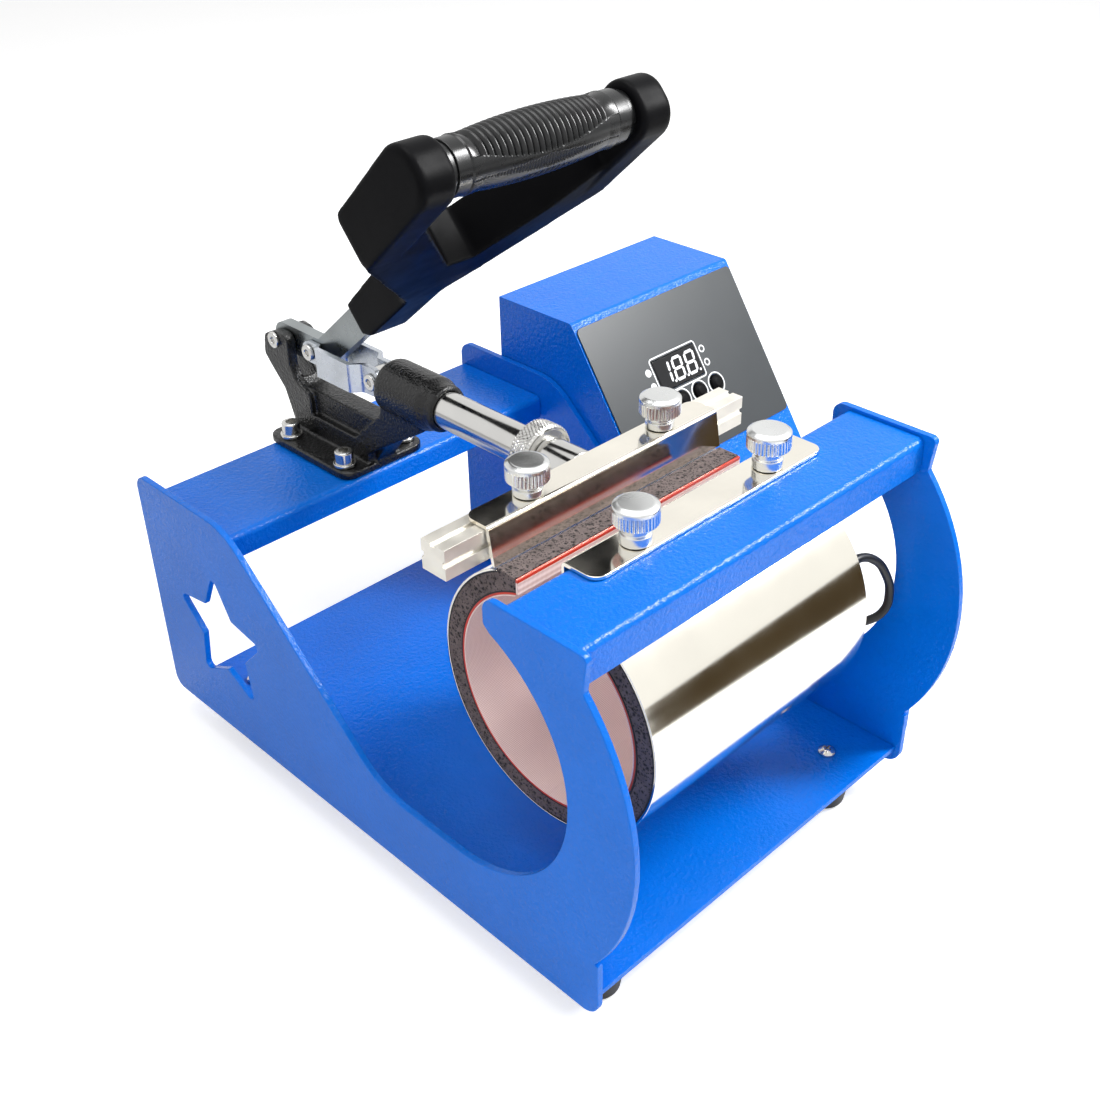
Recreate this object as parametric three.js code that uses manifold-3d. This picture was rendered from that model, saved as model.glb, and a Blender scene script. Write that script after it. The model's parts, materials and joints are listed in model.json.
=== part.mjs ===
// Mug heat press: a folded steel frame carries a wrap-round heater band, a push-pull toggle clamp draws the
// band tight round a mug, and a control box stands beside the frame.
// Millimetres. X runs to the right along the mug, Y to the back and Z up. Places are measured from the middle
// between the side plates, from their rear edge and from their bottom edge. The finished group is shifted so
// that its origin is the bottom centre of its bounding box.
import * as THREE from "three";
import { mergeVertices } from "three/addons/utils/BufferGeometryUtils.js";
import Module from "manifold-3d";

// Clearances, overruns and facets
const SEAT_GAP = 0.3; // between pieces that rest on each other or are joined
const RUNNING_GAP = 0.35; // round pins, rods and buttons that move
const CUT_OVERRUN = 1; // how far a cutting shape passes its piece
const MERGE_DISTANCE = 0.0001;
const ROUND_SIDES = 20;
const SMALL_SIDES = 10;
const HEX_SIDES = 6;
const LARGE_SIDES = 40;
const SMALL_ROUND = 6; // rounds up to this radius get the small number of sides
const LARGE_ROUND = 20;
const CORNER_STEPS = 3;
const LARGE_ARC_STEPS = 16;

// Whole press
const AXIS_HEIGHT = 154; // plunger axis over the plates' bottom edge
const FRAME_WIDTH = 200; // outside to outside of the side plates
const PRESS_CENTER_X = -3; // heater, clamp and handle share this middle
const SHEET = 2.5; // base plate and crossbars
const BRIGHT_SHEET = 1.5; // heater brackets

// Heater band, wrapped round the mug
const HEATER_BORE_RADIUS = 44.7;
const HEATER_LENGTH = 127;
const HEATER_TOP_DROP = 11.7; // outer top of the band under the top of the front crossbar
const HEATER_SETBACK = 12.3; // band axis behind the rear edge of the front crossbar
const LINER_THICKNESS = 1.5;
const FOAM_THICKNESS = 8;
const SHELL_THICKNESS = 1;
const BAND_END_WIDTH = 11; // flat rear end of the band, in front of the rear bracket
const BAND_FRONT_LIP = 5.5; // how far the band reaches behind the front bracket

// Pressure bar and its fixings
const BAR_SIZE = 13;
const BAR_LENGTH = 167;
const BAR_RISE = 2; // bar middle over the plunger axis
const BAR_SETBACK = 4.8; // bar face behind the band's rear end
const BAR_GROOVE_DEPTH = 1.2;
const BAR_GROOVE_WIDTH = 2.4;
const BAND_END_DROP = 1.5; // band end under the bar's lower face
const REAR_BRACKET_REACH = 13.3; // top flange over the bar
const BRACKET_LENGTH = 128;
const BRACKET_CORNER = 5;
const FRONT_BRACKET_REACH = 17; // top flange over the front crossbar
const FRONT_BRACKET_DROP = 16; // hanging flange under the top of the front crossbar
const HUB_RADIUS = 9.5;
const HUB_LENGTH = 19.5;
const COLLAR_RADIUS = 14;
const COLLAR_LENGTH = 9.5;
const COLLAR_TEETH = 32;

// Front and rear crossbars
const FRONT_BAR_Y = -243.3; // rear edge
const FRONT_BAR_DEPTH = 37.7;
const FRONT_BAR_RISE = 11; // top over the plunger axis
const FRONT_BAR_FLANGE = 14.5;
const REAR_BAR_INSET = 0.5; // behind it the plates' rear edge
const REAR_BAR_DEPTH = 60.5;
const REAR_BAR_FLANGE = 11.5;
const CLAMP_AXIS_RISE = 46; // plunger axis over the rear crossbar
const BAR_FOLD_RADIUS = 3;

// Side plates
const PLATE_THICKNESS = 3;
const TOWER_STAND = 12; // plate over the rear crossbar
const TOWER_DEPTH = 70.1; // rear edge to the top of the slope
const TOWER_CORNER = 7;
const TOWER_SHOULDER = 32;
const REAR_TOE_CORNER = 6.5;
const SLOPE_ANGLE = 41.6;
const VALLEY_RADIUS = 41;
const THROAT_MARGIN = 6.2; // round the band
const THROAT_SETBACK = 17; // throat centre behind the band axis
const THROAT_DROP = 1; // throat centre under the band axis
const THROAT_START_ANGLE = 270;
const THROAT_END_ANGLE = 115;
const POST_STAND = 1.5; // plate over the front crossbar
const POST_REAR_MARGIN = 6.3; // plate behind the front crossbar
const POST_FRONT_MARGIN = 5; // plate in front of it
const POST_NOSE = 5;
const POST_NOSE_HEIGHT = 11;
const POST_RADIUS = 100; // rounded front edge
const POST_SETBACK = 23.5; // its centre behind the band axis
const POST_DROP = 10.5; // and under it
const POST_START_ANGLE = 140;
const POST_END_ANGLE = 215.7;
const TOE_MARGIN = 9.5; // plate's front foot in front of the crossbar's front edge
const TOE_RADIUS = 8;
const STAR_POINT_RADIUS = 34;
const STAR_INNER_RADIUS = 17.5;
const STAR_ROUNDING = 2.5;
const STAR_SETBACK = 54.3; // star centre in front of the plate's rear edge
const STAR_HEIGHT = 55.2;
const STAR_POINTS = 5;
const LUG_REACH = 9;
const LUG_HEIGHT = 18;
const LUG_BOTTOM = 10;
const LUG_SETBACK = 4.5; // lug behind the plate's front foot
const LUG_CORNER = 4;

// Base plate, feet and their screws
const BASE_TOP = 10;
const BASE_REAR_MARGIN = 14;
const BASE_FRONT_MARGIN = 2.5; // behind the plates' front foot
const FOOT_SIDE_MARGIN = 25; // foot to the outer face of the nearer plate, but for the shifted middle
const FOOT_FRONT_MARGIN = 22;
const FOOT_REAR_MARGIN = 24;
const FOOT_HEIGHT = 23.5;
const FOOT_TOP_RADIUS = 13;
const FOOT_BOTTOM_RADIUS = 9.8;
const FOOT_EDGE = 1.2;
const FOOT_SCREW_RADIUS = 2;
const FOOT_SCREW_HEAD_RADIUS = 4;
const FOOT_SCREW_HEAD_HEIGHT = 2.4;
const FOOT_SCREW_LENGTH = 16;

// Thumbscrews
const THUMB_SPREAD = 37;
const THUMB_HEAD_RADIUS = 8.6;
const THUMB_HEAD_LENGTH = 7;
const THUMB_DOME = 1.2;
const THUMB_NECK_RADIUS = 6;
const THUMB_SHANK_RADIUS = 3;
const THUMB_SHANK_LENGTH = 10;
const THUMB_TEETH = 24;
const KNURL_DEPTH = 0.6;
const REAR_THUMB_NECK = 6;
const FRONT_THUMB_NECK = 8;
const FRONT_THUMB_SETBACK = 8.2; // screw in front of the crossbar's rear edge
const REAR_THUMB_SETBACK = 5.5; // screw behind the bar's face

// Toggle clamp
const FLANGE_WIDTH = 48;
const FLANGE_LENGTH = 63.5;
const FLANGE_THICKNESS = 3.7;
const FLANGE_OVERHANG = 3; // behind the plates' rear edge
const FLANGE_CORNER = 7;
const BLOCK_WIDTH = 18.5;
const BLOCK_INSET = 2; // behind the flange's front edge
const BLOCK_TOP = 10.5; // over the flange
const EAR_THICKNESS = 5;
const EAR_GAP = 7;
const EAR_FRONT = 10; // ear's front edge in front of the lever pivot
const EAR_REAR = 11; // ear's rearmost edge behind it
const EAR_TOP = 4.5; // over the plunger axis
const EAR_CORNER = 4;
const EAR_FOOT_LENGTH = 18;
const EAR_WAIST_RISE = 17; // where the leaning ear is narrowest, over the flange
const LEVER_PIVOT_INSET = 6; // pivot behind the flange's rear edge
const CRANK_LENGTH = 24; // lever pivot to toggle pin
const LINK_LENGTH = 47; // toggle pin to plunger pin
const BARREL_RADIUS = 12.5;
const BARREL_LIP_RADIUS = 10.8;
const BARREL_LENGTH = 38.7;
const BARREL_ROUNDING = 4;
const WEB_THICKNESS = 18;
const WEB_REACH = 28; // along the barrel from its rear end
const ROD_RADIUS = 8.4;
const ROD_NECK_RADIUS = 6; // where the rod enters collar and hub
const CLEVIS_THICKNESS = 6;
const CLEVIS_RADIUS = 6;
const CLEVIS_LENGTH = 12;
const PIN_RADIUS = 2.5;
const EYELET_RADIUS = 4;
const EYELET_HOLLOW = 1.6;
const EYELET_HEIGHT = 1.4;
const LINK_THICKNESS = 2.5;
const LINK_END_RADIUS = 5.2; // at the toggle pin
const LINK_FRONT_RADIUS = 7; // at the plunger pin
const LINK_RISE = 6.5; // top of the middle strip over the pins
const LINK_DROP = 7.5; // and its lower edge under them
const LINK_BULGE = 4.5; // how far the link stands out in its middle
const LINK_BULGE_LENGTH = 25;
const LEVER_THICKNESS = 6;
const LEVER_LEG_WIDTH = 14;
const LEVER_TIP = 9; // leg in front of the toggle pin
const LEVER_ARM_WIDTH = 14;
const LEVER_ARM_DROP = 4.6; // arm's middle line under the toggle pin, square to the arm
const CLAMP_BOLT_SPREAD = 17.5;
const CLAMP_BOLT_FRONT_INSET = 9.5;
const CLAMP_BOLT_REAR_INSET = 12;
const BOLT_RADIUS = 3;
const BOLT_HEAD_RADIUS = 5;
const BOLT_HEAD_HEIGHT = 6;
const BOLT_SOCKET_RADIUS = 2.9;
const BOLT_SOCKET_DEPTH = 3;
const BOLT_WASHER_RADIUS = 6.2;
const BOLT_WASHER_THICKNESS = 1.4;
const NUT_RADIUS = 5.7;
const NUT_HEIGHT = 5;

// Handle, measured from the toggle pin along the raised lever arm
const HANDLE_RAISE = 40.5; // degrees over the horizontal
const HANDLE_STEM_START = 53;
const HANDLE_STEM_HALF = 10;
const HANDLE_FORK_START = 95;
const HANDLE_FORK_END = 156;
const HANDLE_HALF_WIDTH = 62;
const HANDLE_STEM_TOP = 2; // upper side over the arm's own line through the toggle pin, at the stem's end
const HANDLE_STEM_DEPTH = 12; // lower side under it, at the stem's end
const HANDLE_BELLY_START = 59;
const HANDLE_BELLY_END = 112;
const HANDLE_BELLY_DEPTH = 16;
const HANDLE_THICKNESS = 18.6; // side limbs
const HANDLE_CAP_WIDTH = 16;
const HANDLE_CAP_RADIUS = 12.8;
const HANDLE_CAP_DEPTH = 14.5; // cap's lower front corner under the arm's line
const HANDLE_CROTCH = 128;
const HANDLE_CROTCH_HALF = 7;
const HANDLE_OPENING_END = 178;
const HANDLE_EDGE = 2;
const LEVER_ARM_LENGTH = 96; // hidden end of the arm inside the stem
const GRIP_DISTANCE = 196;
const GRIP_NECK_RADIUS = 9.8;
const GRIP_NECK_LENGTH = 9;
const GRIP_RIB_RADIUS = 12.2;
const GRIP_VALLEY_RADIUS = 10.9;
const GRIP_RIBS = 22;
const GRIP_RIBBED_LENGTH = 62;

// Control box
const BOX_WIDTH = 118.7;
const BOX_TOP_DROP = 1.5; // box top under the plunger axis
const BOX_REAR_Y = -28.5;
const BOX_TOP_DEPTH = 51.5;
const BOX_SLOPE_ANGLE = 56;
const BOX_BOTTOM = 30;
const BOX_FRONT_HEIGHT = 16; // upright face under the slope
const BOX_WALL = 1.5;
const BOX_CORNER = 2.5;
const COVER_BLOCK = 8;
const COVER_SCREW_RADIUS = 1.5;
const COVER_SCREW_HEAD_RADIUS = 3;
const COVER_SCREW_HEAD_HEIGHT = 1.6;
const COVER_SCREW_LENGTH = 7;

// Control panel, measured down the slope from its top edge and from the box's left side
const OVERLAY_MARGIN = 1;
const OVERLAY_TOP = 3.7;
const OVERLAY_BOTTOM = 87;
const OVERLAY_THICKNESS = 0.6;
const OVERLAY_CORNER = 3;
const DISPLAY_X = 53.8;
const DISPLAY_DOWN = 41.8;
const DISPLAY_WIDTH = 31.5;
const DISPLAY_HEIGHT = 16.5;
const DISPLAY_STAND = 0.4; // face over the overlay
const BUTTON_DOWN = 57.5;
const BUTTON_MIDDLE_X = 61.7;
const BUTTON_PITCH = 13.2;
const BUTTON_RADIUS = 4.25;
const BUTTON_STAND = 2;
const BUTTON_TRAVEL = 0.8;
const BUTTON_FLANGE_RADIUS = 5.4;
const BUTTON_FLANGE_THICKNESS = 1.2;
const BOARD_DEPTH = 12; // board's face under the slope's outer face
const BOARD_THICKNESS = 1.6;
const BOARD_WIDTH = 96;
const BOARD_HEIGHT = 52;
const BOARD_DOWN = 46;
const STANDOFF_RADIUS = 3;
const STANDOFF_INSET = 5;
const SWITCH_STEM_RADIUS = 1.8;

// Power parts at the back of the box and inside it
const INLET_X = 34; // from the box's left side
const INLET_HEIGHT = 66;
const INLET_WIDTH = 27;
const INLET_DEPTH = 18;
const INLET_TALL = 20;
const INLET_FLANGE = 3.5;
const INLET_FLANGE_THICKNESS = 2;
const INLET_RECESS_WALL = 2.6;
const INLET_PIN_SPREAD = 7;
const INLET_PIN_WIDTH = 4;
const INLET_PIN_THICKNESS = 2;
const INLET_PIN_LENGTH = 10;
const SWITCH_X = 82;
const ROCKER_LENGTH = 16; // top to bottom
const ROCKER_WIDTH = 10;
const ROCKER_DEPTH = 8;
const ROCKER_TILT = 9;
const ROCKER_PIVOT_DEPTH = 6;
const SWITCH_WALL = 2.2;
const SWITCH_DEPTH = 15;
const RELAY_LENGTH = 58;
const RELAY_WIDTH = 44;
const RELAY_HEIGHT = 22;
const RELAY_STEP = 6;
const RELAY_FRONT_MARGIN = 42;
const GROMMET_RADIUS = 5;
const GROMMET_LIP_RADIUS = 6;
const GROMMET_LIP = 2;
const GROMMET_X = 18;

// Heater lead, a free cable: its route is a list of points chosen by hand
const LEAD_RADIUS = 3.25;
const LEAD_SIDES = 8;
const LEAD_STEPS = 44;
const LEAD_ROUTE = [
  [61, -276, 120],
  [68, -276, 120],
  [76, -278, 116],
  [82.5, -280, 107],
  [85.5, -281, 97],
  [83, -281, 89],
  [76, -277, 85],
  [69.5, -269, 83],
  [66, -259, 80.5],
  [65, -248, 75.5],
  [66.5, -238, 68],
  [71, -229, 59.5],
  [79, -220, 52],
  [89, -211, 47],
  [100, -202, 44],
  [109, -193, 42],
  [115.5, -183, 40.2],
  [118, -174, 38.6],
  [118, -166, 38],
];

// Places that follow from the sizes
const centerX = PRESS_CENTER_X;
const plateInsideX = FRAME_WIDTH / 2 - PLATE_THICKNESS;
const frontBarTop = AXIS_HEIGHT + FRONT_BAR_RISE;
const rearBarTop = AXIS_HEIGHT - CLAMP_AXIS_RISE;
const towerTop = rearBarTop + TOWER_STAND;
const heaterRadius =
  HEATER_BORE_RADIUS + LINER_THICKNESS + SEAT_GAP + FOAM_THICKNESS + SEAT_GAP + SHELL_THICKNESS;
const heaterY = FRONT_BAR_Y + HEATER_SETBACK;
const heaterZ = frontBarTop - HEATER_TOP_DROP - heaterRadius;
const barBottom = AXIS_HEIGHT + BAR_RISE - BAR_SIZE / 2;
const barTop = barBottom + BAR_SIZE;
const bandEndZ = barBottom - BAND_END_DROP;
const bandEndY = heaterY + Math.sqrt(heaterRadius ** 2 - (bandEndZ - heaterZ) ** 2);
const barFrontY = bandEndY + BAR_SETBACK;
const barRearY = barFrontY + BAR_SIZE;
const frontFlangeBottom = frontBarTop - FRONT_BRACKET_DROP;
const frontBarFrontY = FRONT_BAR_Y - FRONT_BAR_DEPTH;
const toeY = frontBarFrontY - TOE_MARGIN;
const baseBottom = BASE_TOP - SHEET;
const flangeRearY = FLANGE_OVERHANG;
const flangeFrontY = flangeRearY - FLANGE_LENGTH;
const flangeBottom = rearBarTop + SEAT_GAP;
const flangeTop = flangeBottom + FLANGE_THICKNESS;
const leverPivotY = flangeRearY + LEVER_PIVOT_INSET;
const togglePinY = leverPivotY - CRANK_LENGTH;
const plungerPinY = togglePinY - LINK_LENGTH;
const barrelRearY = plungerPinY - LINK_FRONT_RADIUS - RUNNING_GAP;
const barrelFrontY = barrelRearY - BARREL_LENGTH;
const hubFrontY = barRearY + HUB_LENGTH;
const collarRearY = hubFrontY + SEAT_GAP + COLLAR_LENGTH;
const linkInsideX = LEVER_THICKNESS / 2 + RUNNING_GAP;
const boxLeftX = FRAME_WIDTH / 2 + SEAT_GAP;
const boxTop = AXIS_HEIGHT - BOX_TOP_DROP;
const slopeTopY = BOX_REAR_Y - BOX_TOP_DEPTH;

const degrees = THREE.MathUtils.degToRad;
const boxSlope = degrees(BOX_SLOPE_ANGLE);
const slopeRun = (boxTop - BOX_BOTTOM - BOX_FRONT_HEIGHT) / Math.tan(boxSlope);
const boxFrontY = slopeTopY - slopeRun;

// Finishes
const finishes = {
  bluePaint: new THREE.MeshStandardMaterial({ color: 0x0a5cc8, roughness: 0.35, metalness: 0.1 }),
  brightSteel: new THREE.MeshStandardMaterial({ color: 0xd8d8d6, roughness: 0.12, metalness: 1 }),
  brushedSteel: new THREE.MeshStandardMaterial({ color: 0xb8b8b4, roughness: 0.35, metalness: 1 }),
  barSteel: new THREE.MeshStandardMaterial({ color: 0xc9c7bf, roughness: 0.45, metalness: 0.8 }),
  blackCasting: new THREE.MeshStandardMaterial({ color: 0x141416, roughness: 0.5, metalness: 0.2 }),
  blackPlastic: new THREE.MeshStandardMaterial({ color: 0x18191b, roughness: 0.4, metalness: 0 }),
  blackRubber: new THREE.MeshStandardMaterial({ color: 0x151515, roughness: 0.8, metalness: 0 }),
  foam: new THREE.MeshStandardMaterial({ color: 0x45403d, roughness: 0.95, metalness: 0 }),
  silicone: new THREE.MeshStandardMaterial({ color: 0xb8948a, roughness: 0.6, metalness: 0 }),
  overlayFilm: new THREE.MeshStandardMaterial({ color: 0x2b2f36, roughness: 0.2, metalness: 0 }),
  displayFace: new THREE.MeshStandardMaterial({ color: 0x0c0d10, roughness: 0.15, metalness: 0 }),
  circuitBoard: new THREE.MeshStandardMaterial({ color: 0x1d5a36, roughness: 0.5, metalness: 0 }),
};

const wasm = await Module();
wasm.setup();

// A closed three.js geometry as a solid that can be joined and cut, its faces turned outwards.
function solidOf(geometry) {
  const loose = geometry.index ? geometry.toNonIndexed() : geometry;
  const bare = new THREE.BufferGeometry();
  bare.setAttribute("position", loose.getAttribute("position"));
  const merged = mergeVertices(bare, MERGE_DISTANCE);
  const corners = merged.index.array;
  const outward = [];
  const inward = [];
  for (let i = 0; i < corners.length; i += 3) {
    const [a, b, c] = corners.slice(i, i + 3);
    if (a === b || b === c || c === a) continue;
    outward.push(a, b, c);
    inward.push(a, c, b);
  }
  const build = (triangles) =>
    new wasm.Manifold(
      new wasm.Mesh({
        numProp: 3,
        vertProperties: merged.getAttribute("position").array,
        triVerts: new Uint32Array(triangles),
      }),
    );
  const solid = build(outward);
  return solid.volume() < 0 ? build(inward) : solid;
}

// A named sub-part of one finish.
function piece(name, solid, finish) {
  const mesh = solid.getMesh();
  const geometry = new THREE.BufferGeometry();
  geometry.setAttribute("position", new THREE.BufferAttribute(mesh.vertProperties, 3));
  geometry.setIndex(new THREE.BufferAttribute(mesh.triVerts, 1));
  const faceted = geometry.toNonIndexed();
  faceted.computeVertexNormals();
  const made = new THREE.Mesh(faceted, finishes[finish]);
  made.name = name;
  return made;
}

const joined = (...solids) => solids.reduce((whole, solid) => whole.add(solid));
const cut = (solid, ...cutters) => cutters.reduce((rest, cutter) => rest.subtract(cutter), solid);

// Outline helpers: points of an arc, and a polygon whose corners [u, v, radius] are rounded.
function arc(centerU, centerV, radius, fromAngle, toAngle, steps) {
  const points = [];
  for (let step = 0; step <= steps; step += 1) {
    const angle = degrees(fromAngle + ((toAngle - fromAngle) * step) / steps);
    points.push([centerU + radius * Math.cos(angle), centerV + radius * Math.sin(angle)]);
  }
  return points;
}

function rounded(corners) {
  const points = [];
  const longestReachShare = 0.49;
  corners.forEach(([u, v, radius = 0], index) => {
    const corner = new THREE.Vector2(u, v);
    if (radius === 0) {
      points.push(corner);
      return;
    }
    const [beforeU, beforeV] = corners.at(index - 1);
    const [afterU, afterV] = corners[(index + 1) % corners.length];
    const before = new THREE.Vector2(beforeU, beforeV).sub(corner);
    const after = new THREE.Vector2(afterU, afterV).sub(corner);
    const half = before.angleTo(after) / 2;
    const longest = longestReachShare * Math.min(before.length(), after.length());
    const reach = Math.min(radius / Math.tan(half), longest);
    const limited = reach * Math.tan(half);
    before.normalize();
    after.normalize();
    const toCenter = before.clone().add(after).normalize();
    const center = corner.clone().addScaledVector(toCenter, limited / Math.sin(half));
    const start = corner.clone().addScaledVector(before, reach).sub(center);
    const end = corner.clone().addScaledVector(after, reach).sub(center);
    const turn = Math.atan2(start.cross(end), start.dot(end));
    for (let step = 0; step <= CORNER_STEPS; step += 1) {
      const angle = (turn * step) / CORNER_STEPS;
      points.push(center.clone().add(start.clone().rotateAround(new THREE.Vector2(), angle)));
    }
  });
  return points;
}

function outline(points) {
  return new THREE.Shape(points.map((point) => (point.isVector2 ? point : new THREE.Vector2(...point))));
}

const xAxis = new THREE.Vector3(1, 0, 0);
const yAxis = new THREE.Vector3(0, 1, 0);
const zAxis = new THREE.Vector3(0, 0, 1);

// Prisms: an outline drawn in (y, z), (x, z) or (x, y), drawn out between two places along the third axis.
function prismX(points, fromX, toX) {
  const geometry = new THREE.ExtrudeGeometry(outline(points), { depth: toX - fromX, bevelEnabled: false });
  geometry.applyMatrix4(new THREE.Matrix4().makeBasis(yAxis, zAxis, xAxis));
  return solidOf(geometry.translate(fromX, 0, 0));
}

function prismY(points, fromY, toY) {
  const geometry = new THREE.ExtrudeGeometry(outline(points), { depth: toY - fromY, bevelEnabled: false });
  geometry.applyMatrix4(new THREE.Matrix4().makeBasis(xAxis, zAxis, yAxis.clone().negate()));
  return solidOf(geometry.translate(0, toY, 0));
}

function prismZ(points, fromZ, toZ) {
  const geometry = new THREE.ExtrudeGeometry(outline(points), { depth: toZ - fromZ, bevelEnabled: false });
  return solidOf(geometry.translate(0, 0, fromZ));
}

function block([fromX, toX], [fromY, toY], [fromZ, toZ]) {
  const geometry = new THREE.BoxGeometry(toX - fromX, toY - fromY, toZ - fromZ);
  return solidOf(geometry.translate((fromX + toX) / 2, (fromY + toY) / 2, (fromZ + toZ) / 2));
}

function sidesOf(radius) {
  if (radius > LARGE_ROUND) return LARGE_SIDES;
  return radius > SMALL_ROUND ? ROUND_SIDES : SMALL_SIDES;
}

// A turned piece: profile points are [radius, place along the axis].
function turned(profile, axis, [x, y, z]) {
  const sides = sidesOf(Math.max(...profile.map(([radius]) => radius)));
  return turnedWithSides(profile, axis, [x, y, z], sides);
}

function turnedWithSides(profile, axis, [x, y, z], sides) {
  const points = profile.map(([radius, along]) => new THREE.Vector2(radius, along));
  const geometry = new THREE.LatheGeometry(points, sides);
  if (axis === "x") geometry.rotateZ(-Math.PI / 2);
  if (axis === "z") geometry.rotateX(Math.PI / 2);
  return solidOf(geometry.translate(x, y, z));
}

function rod(radius, from, to, axis, place) {
  return turned([[0, from], [radius, from], [radius, to], [0, to]], axis, place);
}

function hexagon(radius, from, to, place) {
  return turnedWithSides([[0, from], [radius, from], [radius, to], [0, to]], "z", place, HEX_SIDES);
}

function rectangle(fromU, toU, fromV, toV, corner = 0) {
  return rounded([
    [fromU, fromV, corner],
    [toU, fromV, corner],
    [toU, toV, corner],
    [fromU, toV, corner],
  ]);
}

// A toothed outline for a straight knurl, drawn round the origin.
function knurlOutline(radius, teeth) {
  const points = [];
  for (let tooth = 0; tooth < teeth; tooth += 1) {
    const angle = (2 * Math.PI * tooth) / teeth;
    const halfTooth = Math.PI / teeth;
    points.push([radius * Math.cos(angle), radius * Math.sin(angle)]);
    const valley = radius - KNURL_DEPTH;
    points.push([valley * Math.cos(angle + halfTooth), valley * Math.sin(angle + halfTooth)]);
  }
  return points;
}

// Side plates: the tower at the back, the long slope, the valley, the round throat and the post in front.
function sidePlateOutline() {
  const throatY = heaterY + THROAT_SETBACK;
  const throatZ = heaterZ - THROAT_DROP;
  const throatRadius = heaterRadius + THROAT_MARGIN;
  const valleyZ = throatZ - throatRadius;
  const slopeLength = (towerTop - valleyZ) / Math.tan(degrees(SLOPE_ANGLE));
  const postTop = frontBarTop + POST_STAND;
  const postRearY = FRONT_BAR_Y + POST_REAR_MARGIN;
  const postFrontY = frontBarFrontY - POST_FRONT_MARGIN;
  const throat = arc(throatY, throatZ, throatRadius, THROAT_START_ANGLE, THROAT_END_ANGLE, LARGE_ARC_STEPS);
  const front = arc(
    heaterY + POST_SETBACK,
    heaterZ - POST_DROP,
    POST_RADIUS,
    POST_START_ANGLE,
    POST_END_ANGLE,
    LARGE_ARC_STEPS,
  );
  return rounded([
    [0, 0, REAR_TOE_CORNER],
    [0, towerTop, TOWER_CORNER],
    [-TOWER_DEPTH, towerTop, TOWER_SHOULDER],
    [-TOWER_DEPTH - slopeLength, valleyZ, VALLEY_RADIUS],
    ...throat,
    [postRearY, postTop - POST_NOSE_HEIGHT, POST_NOSE / 2],
    [postRearY, postTop, POST_NOSE],
    [postFrontY, postTop, POST_NOSE / 2],
    ...front,
    [toeY, front.at(-1)[1], 0],
    [toeY, 0, TOE_RADIUS],
  ]);
}

function starOutline(centerU, centerV) {
  const corners = [];
  for (let point = 0; point < 2 * STAR_POINTS; point += 1) {
    const angle = Math.PI / 2 + (Math.PI * point) / STAR_POINTS;
    const tip = point % 2 === 0;
    const radius = tip ? STAR_POINT_RADIUS : STAR_INNER_RADIUS;
    const rounding = tip ? STAR_ROUNDING : 0;
    corners.push([centerU + radius * Math.cos(angle), centerV + radius * Math.sin(angle), rounding]);
  }
  return rounded(corners);
}

// A crossbar folded down along both edges.
function crossbar(rearY, depth, top, flange) {
  const frontY = rearY - depth;
  const profile = rounded([
    [rearY, top - flange],
    [rearY, top, BAR_FOLD_RADIUS],
    [frontY, top, BAR_FOLD_RADIUS],
    [frontY, top - flange],
    [frontY + SHEET, top - flange],
    [frontY + SHEET, top - SHEET],
    [rearY - SHEET, top - SHEET],
    [rearY - SHEET, top - flange],
  ]);
  return prismX(profile, -plateInsideX + SEAT_GAP, plateInsideX - SEAT_GAP);
}

function footPlaces() {
  const frontY = toeY + FOOT_FRONT_MARGIN;
  const rearY = -BASE_REAR_MARGIN - FOOT_REAR_MARGIN;
  const spread = FRAME_WIDTH / 2 - FOOT_SIDE_MARGIN;
  return [
    ["front_left", centerX - spread, frontY],
    ["front_right", centerX + spread, frontY],
    ["rear_left", centerX - spread, rearY],
    ["rear_right", centerX + spread, rearY],
  ];
}

function clampBoltPlaces() {
  const frontY = flangeFrontY + CLAMP_BOLT_FRONT_INSET;
  const rearY = flangeRearY - CLAMP_BOLT_REAR_INSET;
  return [
    ["front_left", centerX - CLAMP_BOLT_SPREAD, frontY],
    ["front_right", centerX + CLAMP_BOLT_SPREAD, frontY],
    ["rear_left", centerX - CLAMP_BOLT_SPREAD, rearY],
    ["rear_right", centerX + CLAMP_BOLT_SPREAD, rearY],
  ];
}

const frontThumbY = FRONT_BAR_Y - FRONT_THUMB_SETBACK;
const rearThumbY = barFrontY + REAR_THUMB_SETBACK;
const thumbXs = [centerX - THUMB_SPREAD, centerX + THUMB_SPREAD];

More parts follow.
